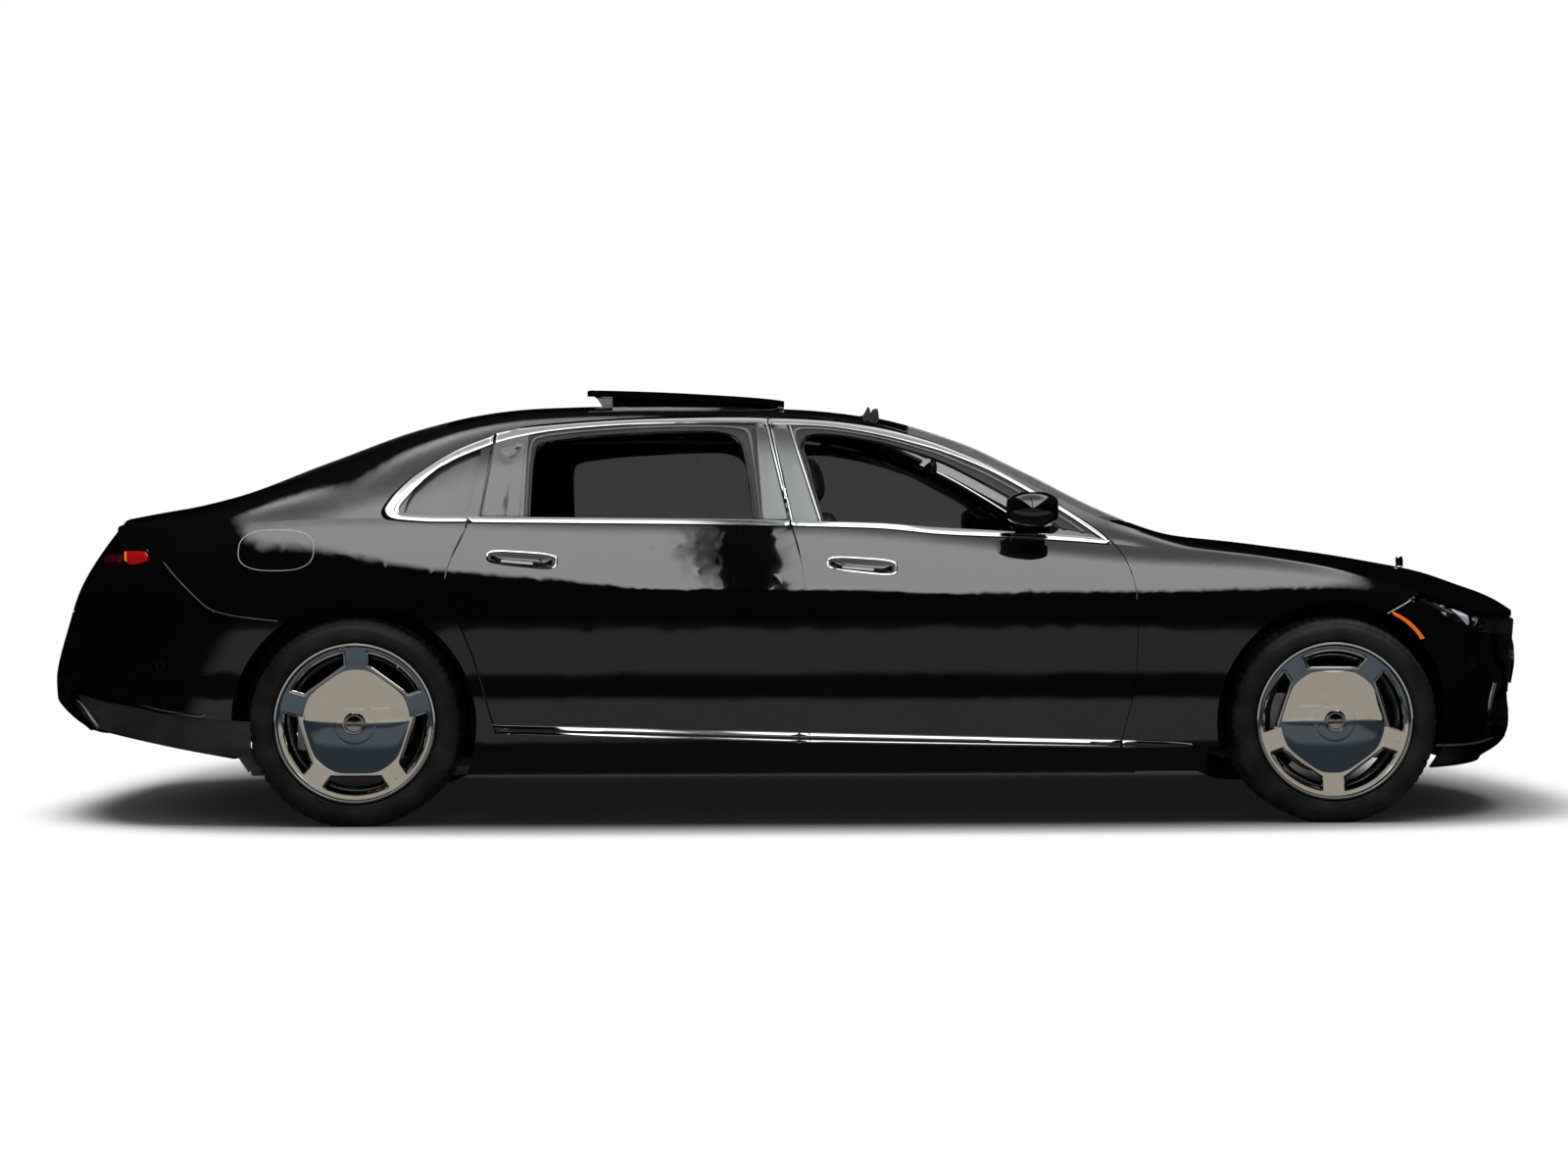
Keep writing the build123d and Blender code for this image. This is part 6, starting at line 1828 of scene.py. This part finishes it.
@dataclass
class Cabin:
    """Seats, screens, mirror and visors."""

    finishes: Finishes
    cushion_top: float = 0.56
    reach: float = 0.52

    def build(self) -> None:
        """Builds all cabin pieces."""
        for row, recline in (("front", 14), ("rear", 24)):
            for hand in Hand:
                self.seat(row, hand, recline)
        self.armrest()
        self.controls()
        self.overhead()

    def pad(self, pad: Pad, place: Matrix, node: str, fill: float = 0.8) -> None:
        """Args:
            pad: the pad.
            place: where its middle stands, and how it leans.
            node: the CAD piece.
            fill: how full it is; not used.
        """
        f = self.finishes
        made = Bench.finish(pad.build(place), "root", f.leather, Slot.LEATHER, 60, f.perforated)
        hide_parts(node)

    def block(self, name: str, low: Spot, high: Spot, edge: float, material: Material,
              place: Matrix | None = None, slot: Slot = Slot.CABIN) -> None:
        """Builds a fixed rounded block.

        Args:
            name: its name.
            low: lowest corner.
            high: highest corner.
            edge: radius of its edges.
            material: its finish.
            place: where its corners are measured from, if not from the origin.
            slot: the record's slot.
        """
        made = Bench.block(name, low, high, edge)
        if place:
            made.data.transform(place)
        Bench.finish(made, "root", material, slot)

    def seat(self, row: str, hand: Hand, recline: float) -> None:
        """Builds one seat.

        Args:
            row: front or rear.
            hand: its side of the car.
            recline: lean of its back in degrees.
        """
        node, tag, y = f"{row}_seats", f"{row}_{hand.word}", hand.value * 0.385
        floor, hip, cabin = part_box(node)[0].z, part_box(node)[1].x - self.reach, self.finishes.cabin
        lean = Matrix.Translation((hip - 0.02, y, self.cushion_top - 0.03))
        lean = lean @ Matrix.Rotation(-math.radians(recline), 4, "Y")
        self.pad(Pad(f"cushion_{tag}", (0.272, 0.255, 0.083), 2, 7, 0.020),
                 Matrix.Translation((hip + 0.246, y, self.cushion_top - 0.085)), node)
        self.pad(Pad(f"backrest_{tag}", (0.073, 0.257, 0.316), 0, 8, 0.022),
                 lean @ Matrix.Translation((0, 0, 0.26)), node)
        self.pad(Pad(f"headrest_{tag}", (0.046, 0.132, 0.082), 0, 0, 0.0, 0.02, 28, 4.0),
                 lean @ Matrix.Translation((0.006, 0, 0.702)), node, 0.7)
        for side, word in ((-0.05, "in"), (0.05, "out")):
            ends = [lean @ Vector((0.004, side, z)) for z in (0.53, 0.59, 0.66)]
            post = Bench.bar(f"headrest_post_{tag}_{word}", ends, 0.0065, 12)
            Bench.finish(post, "root", self.finishes.chrome, Slot.METAL)
        self.block(f"seat_base_{tag}", (hip - 0.02, y - 0.20, floor + 0.035), (hip + 0.45, y + 0.20, 0.405),
                   0.03, cabin)
        for word, side in (("in", -0.18), ("out", 0.14)):
            self.block(f"seat_rail_{word}_{tag}", (hip - 0.02, y + side, floor),
                       (hip + 0.46, y + side + 0.04, floor + 0.04), 0.006, cabin)
        self.block(f"seat_shell_{tag}", (-0.081, -0.19, 0.02), (-0.068, 0.19, 0.50), 0.006, cabin, lean)

    def armrest(self) -> None:
        """Fixed armrest between the rear places, with its lidded box."""
        f, (low, high) = self.finishes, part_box("rear_seats")
        hip = high.x - self.reach
        self.block("rear_armrest_box", (hip - 0.08, -0.112, low.z), (hip + 0.41, 0.112, 0.56), 0.012, f.cabin)
        self.pad(Pad("rear_armrest_pad", (0.235, 0.112, 0.034), 2, 0, 0.0, 0.008, 28, 5.0),
                 Matrix.Translation((hip + 0.165, 0, 0.586)), "rear_seats", 0.9)
        self.block("rear_armrest_band", (hip - 0.07, -0.1135, 0.535), (hip + 0.4115, 0.1135, 0.545), 0.003,
                   f.chrome)

    def controls(self) -> None:
        """Screens and trim of the dashboard, and the console's top."""
        f, front = self.finishes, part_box("dashboard")[1].x - 0.429
        low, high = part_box("centre_console")
        for name, lower, upper, edge, material in (
            ("driver_screen", (front - 0.012, 0.235, 0.79), (front + 0.006, 0.545, 0.908), 0.004, f.black_glass),
            ("driver_screen_rim", (front - 0.002, 0.227, 0.782), (front + 0.01, 0.553, 0.911), 0.004, f.chrome),
            ("centre_screen", (front - 0.02, -0.15, 0.66), (front - 0.006, 0.15, 0.86), 0.004, f.black_glass),
            ("centre_screen_rim", (front - 0.012, -0.157, 0.653), (front + 0.004, 0.157, 0.867), 0.004, f.chrome),
            ("dash_band", (front - 0.006, -0.70, 0.742), (front + 0.004, 0.70, 0.762), 0.003, f.satin),
        ):
            self.block(name, lower, upper, edge, material)
        for index, y in enumerate((-0.62, -0.24, 0.195, 0.63)):
            left, right, bars = y - 0.035, y + 0.035, []
            for z in (0.772, 0.780, 0.788, 0.796, 0.804):
                bars.append(Bench.block("vent", (front - 0.010, left, z), (front + 0.004, right, z + 0.003), 0.001))
            Bench.finish(Bench.join(f"dash_vent_{index}", bars), "root", f.chrome, Slot.CABIN)
        self.block("console_lid", (low.x + 0.03, -0.108, high.z - 0.012), (low.x + 0.36, 0.108, high.z + 0.022),
                   0.014, f.leather, slot=Slot.LEATHER)
        self.block("console_panel", (low.x + 0.40, -0.10, high.z - 0.004), (high.x - 0.03, 0.10, high.z + 0.004),
                   0.003, f.black_glass)

    def overhead(self) -> None:
        """Rear-view mirror and sun visors."""
        f, glass = self.finishes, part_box("windshield")[0].x
        body = Bench.block("cabin_mirror", (glass + 0.115, -0.125, 1.238), (glass + 0.15, 0.125, 1.298), 0.014, 4)
        path = [(glass + 0.14, 0, 1.285), (glass + 0.15, 0, 1.33), (glass + 0.155, 0, 1.362)]
        stem = Bench.bar("mirror_stem", path, 0.011, 12)
        Bench.finish(Bench.join("cabin_mirror", [body, stem]), "root", f.gloss_plastic, Slot.CABIN)
        for hand in Hand:
            tilt = Matrix.Translation((glass + 0.035, hand.value * 0.36, 1.345)) @ Matrix.Rotation(0.42, 4, "Y")
            self.block(f"sun_visor_{hand.word}", (-0.085, -0.19, -0.009), (0.085, 0.19, 0.009), 0.008,
                       f.headliner, tilt)


# ---- Lamps and ends ----
@dataclass
class Ends:
    """Lamps, lines and trim of one side of the nose and the tail."""

    finishes: Finishes
    skin: Skin

    def build(self) -> None:
        """Builds both ends."""
        self.skin.deep = 0.12
        self.tail()
        self.headlamp()
        self.nose()

    def tail(self) -> None:
        """Tail lamp, its bright line, a painted highlight along the shut line, the crease and the exhaust blade."""
        f, strip, line = self.finishes, self.skin.strip, self.skin.line
        strip("tail_lamp_bright", "root", ((-2.521, 0.945), (-2.481, 0.946), (-2.443, 0.945), (-2.424, 0.930)),
              ((-2.503, 0.906), (-2.487, 0.899), (-2.454, 0.903), (-2.424, 0.912)), f.red, Slot.RED, columns=32,
              rows=6, crown=0.004)
        strip("tail_lamp_edge", "root", ((-2.529, 0.944), (-2.517, 0.912)), ((-2.521, 0.944), (-2.508, 0.908)),
              f.amber, Slot.RED, columns=6, thickness=0.0045)
        strip("tail_lamp_inner", "root", ((-2.627, 0.931), (-2.59, 0.932), (-2.543, 0.932)),
              ((-2.631, 0.907), (-2.59, 0.906), (-2.543, 0.907)), f.dark_red, Slot.RED, rows=4)
        line("tail_lamp_line", ((-2.585, 0.9545), (-2.557, 0.954), (-2.492, 0.951), (-2.430, 0.9475)), 0.006,
             f.chrome, Slot.CHROME, thickness=0.004)
        # A grey band along the shut line: a painted highlight.
        line("rear_shut_line", ((-2.358, 0.906), (-2.313, 0.860), (-2.268, 0.817), (-2.197, 0.754), (-2.14, 0.732),
                                (-2.078, 0.72), (-1.955, 0.706)), 0.003, f.seal_grey, Slot.PAINT, thickness=0.0008)
        line("rear_crease", ((-2.700, 0.463), (-2.631, 0.444), (-2.46, 0.419), (-2.348, 0.395), (-2.233, 0.382),
                             (-2.210, 0.381), (-2.200, 0.389)), 0.0065, f.chrome, Slot.CHROME, thickness=0.005)
        strip("exhaust_blade", "root", ((-2.728, 0.432), (-2.70, 0.424), (-2.662, 0.386), (-2.611, 0.327)),
              ((-2.716, 0.402), (-2.69, 0.374), (-2.667, 0.350), (-2.634, 0.326)), f.chrome, rows=5,
              thickness=0.009, crown=0.004)
        strip("bumper_floor_panel", "root", ((-2.690, 0.448), (-2.631, 0.436), (-2.46, 0.411), (-2.348, 0.388),
                                             (-2.20, 0.372), (-2.05, 0.362)),
              ((-2.600, 0.326), (-2.54, 0.318), (-2.42, 0.293), (-2.30, 0.268), (-2.15, 0.244), (-2.05, 0.236)),
              f.bumper_dark, Slot.PLASTIC, columns=48, rows=8, thickness=0.0012, crown=0.0)

    def headlamp(self) -> None:
        """Inner parts of the headlamp, under its cover, and the cover's bright edge."""
        f, whole, strip, line = self.finishes, self.skin.guide, self.skin.strip, self.skin.line
        self.skin.guide = Bench.copy_of(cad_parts["headlamps"], "guide_lamp")
        top = ((2.055, 0.803), (2.122, 0.796), (2.175, 0.788), (2.228, 0.764), (2.263, 0.732), (2.290, 0.700))
        low = ((2.048, 0.785), (2.100, 0.749), (2.157, 0.712), (2.203, 0.680), (2.249, 0.668), (2.290, 0.682))
        strip("headlamp_well", "root", top, low, f.black_glass, Slot.LENS, columns=40, rows=8, lift=0.0008,
              thickness=0.0012, crown=0.0)
        line("headlamp_upper_blade", ((2.078, 0.796), (2.13, 0.788), (2.178, 0.777), (2.222, 0.754),
                                      (2.254, 0.722)), 0.008, f.lamp_grey, Slot.LENS, lift=0.003)
        line("headlamp_edge", ((2.052, 0.790), (2.100, 0.7505), (2.157, 0.7135), (2.203, 0.682), (2.249, 0.670),
                               (2.288, 0.684)), 0.0035, f.chrome, Slot.CHROME, lift=0.003)
        line("headlamp_bezel", ((2.074, 0.770), (2.110, 0.7705), (2.143, 0.770), (2.1475, 0.760), (2.146, 0.745),
                                (2.138, 0.742), (2.112, 0.743)), 0.0045, f.chrome, Slot.LENS, lift=0.003)
        # The cell and the reflector are painted pale: painted highlights in place of their reflections.
        strip("headlamp_cell", "root", ((2.106, 0.763), (2.138, 0.763)), ((2.110, 0.749), (2.138, 0.749)),
              f.lamp_painted_highlight, Slot.LENS, columns=8, lift=0.003)
        strip("headlamp_reflector", "root", ((2.150, 0.748), (2.185, 0.750), (2.203, 0.722), (2.209, 0.692)),
              ((2.148, 0.742), (2.160, 0.724), (2.178, 0.706), (2.202, 0.684)), f.lamp_painted_highlight, Slot.LENS,
              columns=16, rows=5, lift=0.003, crown=0.003)
        for name, radius, wide, last, material in (("headlamp_lens", 0.0105, 0.021, 11, f.projector),
                                                   ("headlamp_lens_ring", 0.026, 0.007, 7, f.lamp_grey),
                                                   ("headlamp_outer_ring", 0.040, 0.004, 7, f.dark_chrome)):
            turns = [math.pi * k / 8 for k in range(-6, last)]
            ring = [(2.222 + radius * 0.72 * math.cos(turn), 0.718 + radius * math.sin(turn)) for turn in turns]
            line(name, ring, wide, material, Slot.LENS, lift=0.0035, crown=0.002)
        self.skin.clear()
        self.skin.guide = whole

    def nose(self) -> None:
        """Painted highlight along the shut line beside the lamp, intake blade and lower lip of the front bumper."""
        f, line = self.finishes, self.skin.line
        # A light grey band along the shut line: a painted highlight.
        line("front_shut_line", ((2.026, 0.7982), (1.995, 0.786), (1.950, 0.763), (1.882, 0.729)), 0.003,
             f.seal_edge_bright, Slot.PAINT, thickness=0.0008)
        line("intake_blade", ((2.362, 0.470), (2.352, 0.440), (2.336, 0.395), (2.326, 0.350), (2.325, 0.313),
                              (2.336, 0.288), (2.358, 0.276), (2.392, 0.273)), 0.007, f.chrome, Slot.CHROME,
             thickness=0.006, crown=0.002)
        line("front_lip_line", ((2.080, 0.262), (2.18, 0.260), (2.265, 0.262), (2.37, 0.276)), 0.004, f.seal_grey,
             Slot.PLASTIC)


@dataclass
class Face:
    """Fin, grille, plate and net on the car's centre."""

    finishes: Finishes

    def build(self) -> None:
        """Builds the pieces."""
        self.fin()
        self.grille()
        self.plate()
        self.net()

    def fin(self) -> None:
        """Plain upright fin, as a thin leaf on a small foot."""
        low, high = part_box("hood_fin")
        centre, half = (low + high) / 2, (high - low) / 2

        def leaf(u: float, v: float) -> Spot:
            """Point of the leaf's skin."""
            turn = 2 * math.pi * u
            z = low.z + 0.004 + (high.z - low.z - 0.004) * math.sin(v * math.pi / 2)
            size = math.sqrt(max(0.0, 1 - v ** 3.4)) * (0.9 + 0.1 * v)
            x = centre.x - 0.10 * half.x * v + half.x * 1.35 * size * math.cos(turn)
            return (x, 0.0052 * size * math.sin(turn), z)

        made = Bench.tidy(Bench.surface("fin_leaf", 28, 14, leaf))
        foot = Bench.block("fin_foot", (low.x, -0.0068, low.z), (high.x, 0.0068, low.z + 0.006), 0.0025)
        made = Bench.join("hood_fin_leaf", [made, foot])
        Bench.finish(made, "hood", self.finishes.chrome, Slot.CHROME)
        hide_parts("hood_fin")

    def grille(self) -> None:
        """Bright noses on the grille's upright bars."""
        low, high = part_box("radiator_grille")
        bars = []
        half, count = abs(high.y), 19
        for index in range(count):
            y = (index - (count - 1) / 2) * (2 * half * 0.87 / count)
            front = high.x - 0.012 - 0.055 * (y / half) ** 2 * 0.8
            ends = [(front - 0.012, y, low.z + 0.030), (front, y, low.z + 0.10),
                    (front + 0.001, y, (low.z + high.z) / 2), (front - 0.004, y, high.z - 0.10),
                    (front - 0.022, y, high.z - 0.045)]
            bars.append(Bench.bar("grille_blade", ends, 0.0036))
        Bench.finish(Bench.join("grille_blades", bars), "root", self.finishes.chrome, Slot.CHROME)

    def plate(self) -> None:
        """Blank plate in its surround, and the bright bar over it, on the boot lid."""
        f = self.finishes
        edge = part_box("boot_lid")[0].x
        guide = Bench.copy_of(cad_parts["boot_lid"], "lid_guide")
        for name, wide, tall, height, lift, material, slot in (
            ("plate_surround", 0.560, 0.150, 0.800, 0.0006, f.black_glass, Slot.PAINT),
            ("plate_blank", 0.305, 0.110, 0.800, 0.0036, f.plate, Slot.PLASTIC),
            ("lid_bright_bar", 0.720, 0.018, 0.893, 0.0006, f.chrome, Slot.CHROME),
        ):
            made = Bench.surface(name, 40, 8, lambda u, v, w=wide, t=tall, z=height: (
                edge - 0.3, (0.5 - u) * w, z + (v - 0.5) * t))
            Bench.project(made, guide, "x", True, lift)
            for vertex in made.data.vertices:
                if vertex.co.x < edge - 0.05:
                    vertex.co.x = edge + 0.03
            Bench.orient(made, lambda face: -face.normal.x)
            Bench.apply(made, "SOLIDIFY", thickness=0.0028, offset=1.0)
            Bench.finish(made, "boot_lid", material, slot)
        bpy.data.objects.remove(guide)

    def net(self) -> None:
        """Fabric net under the raised wind deflector."""
        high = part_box("wind_deflector")[1]

        def hang(u: float, v: float) -> Spot:
            """Point of the net."""
            across = 2 * u - 1
            x = high.x - 0.022 - 0.03 * v - 0.02 * across ** 2
            return (x, across * high.y * 0.93, high.z - 0.012 - 0.055 * v)

        made = Bench.surface("deflector_net", 60, 6, hang)
        Bench.apply(made, "SOLIDIFY", thickness=0.0012, offset=0.0)
        Bench.finish(made, "root", self.finishes.mesh, Slot.CABIN)


# ---- Finishes of the CAD nodes ----
def dress_nodes(f: Finishes) -> None:
    """Gives every CAD node its finish, by the start of its name."""
    starts = (
        (f.tread, ("tyre",)),
        (f.plastic, ("wheel_housing", "cowl", "wind_deflector")),
        (f.dark_chrome, ("wheel_",)),
        (f.clear_pane, ("windshield",)),
        (f.pane, ("rear_window", "rear_door_glass", "front_window")),
        (f.quarter_pane, ("quarter",)),
        (f.black_glass, ("roof_glass", "sunroof")),
        (f.lamp_cover, ("headlamps",)),
        (f.smoked_red, ("tail_lamps",)),
        (f.gloss_plastic, ("radiator_grille",)),
        (f.chrome, ("hood_fin",)),
        (f.leather, ("front_seats", "rear_seats", "steering_wheel")),
        (f.cabin, ("dashboard", "centre_console")),
        (f.metal, ("engine", "front_subframe", "rear_subframe", "floor_shell")),
        (f.cast, ("exhaust", "front_knuckle", "rear_knuckles")),
    )
    for name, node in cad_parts.items():
        found = next((material for material, words in starts if name.startswith(words)), f.paint)
        if not node.data.materials:
            node.data.materials.append(found)
        for index in range(len(node.data.materials)):
            node.data.materials[index] = found
        LOG.info("%s in %s", name, found.name)


def main() -> None:
    """Builds the car piece by piece."""
    finishes = Finishes()
    dress_nodes(finishes)
    polished: list[Piece] = []
    for hand in Hand:
        skin = Skin(hand)
        SideTrim(hand, finishes, skin).build()
        handle = DoorHandle(hand, finishes, skin)
        handle.build("rear_handle", f"rear_door_{hand.word}", (-1.127, 0.9175))
        handle.build("front_handle", f"front_door_{hand.word}", (0.0425, 0.8965))
        SmallTrim(hand, finishes, skin).build()
        Ends(finishes, skin).build()
        skin.clear()
        for end in ("front", "rear"):
            polished += RoadWheel(end, hand, finishes).build()
    Cabin(finishes).build()
    Face(finishes).build()
    Studio(polished).build()


if __name__ == "__main__":
    main()
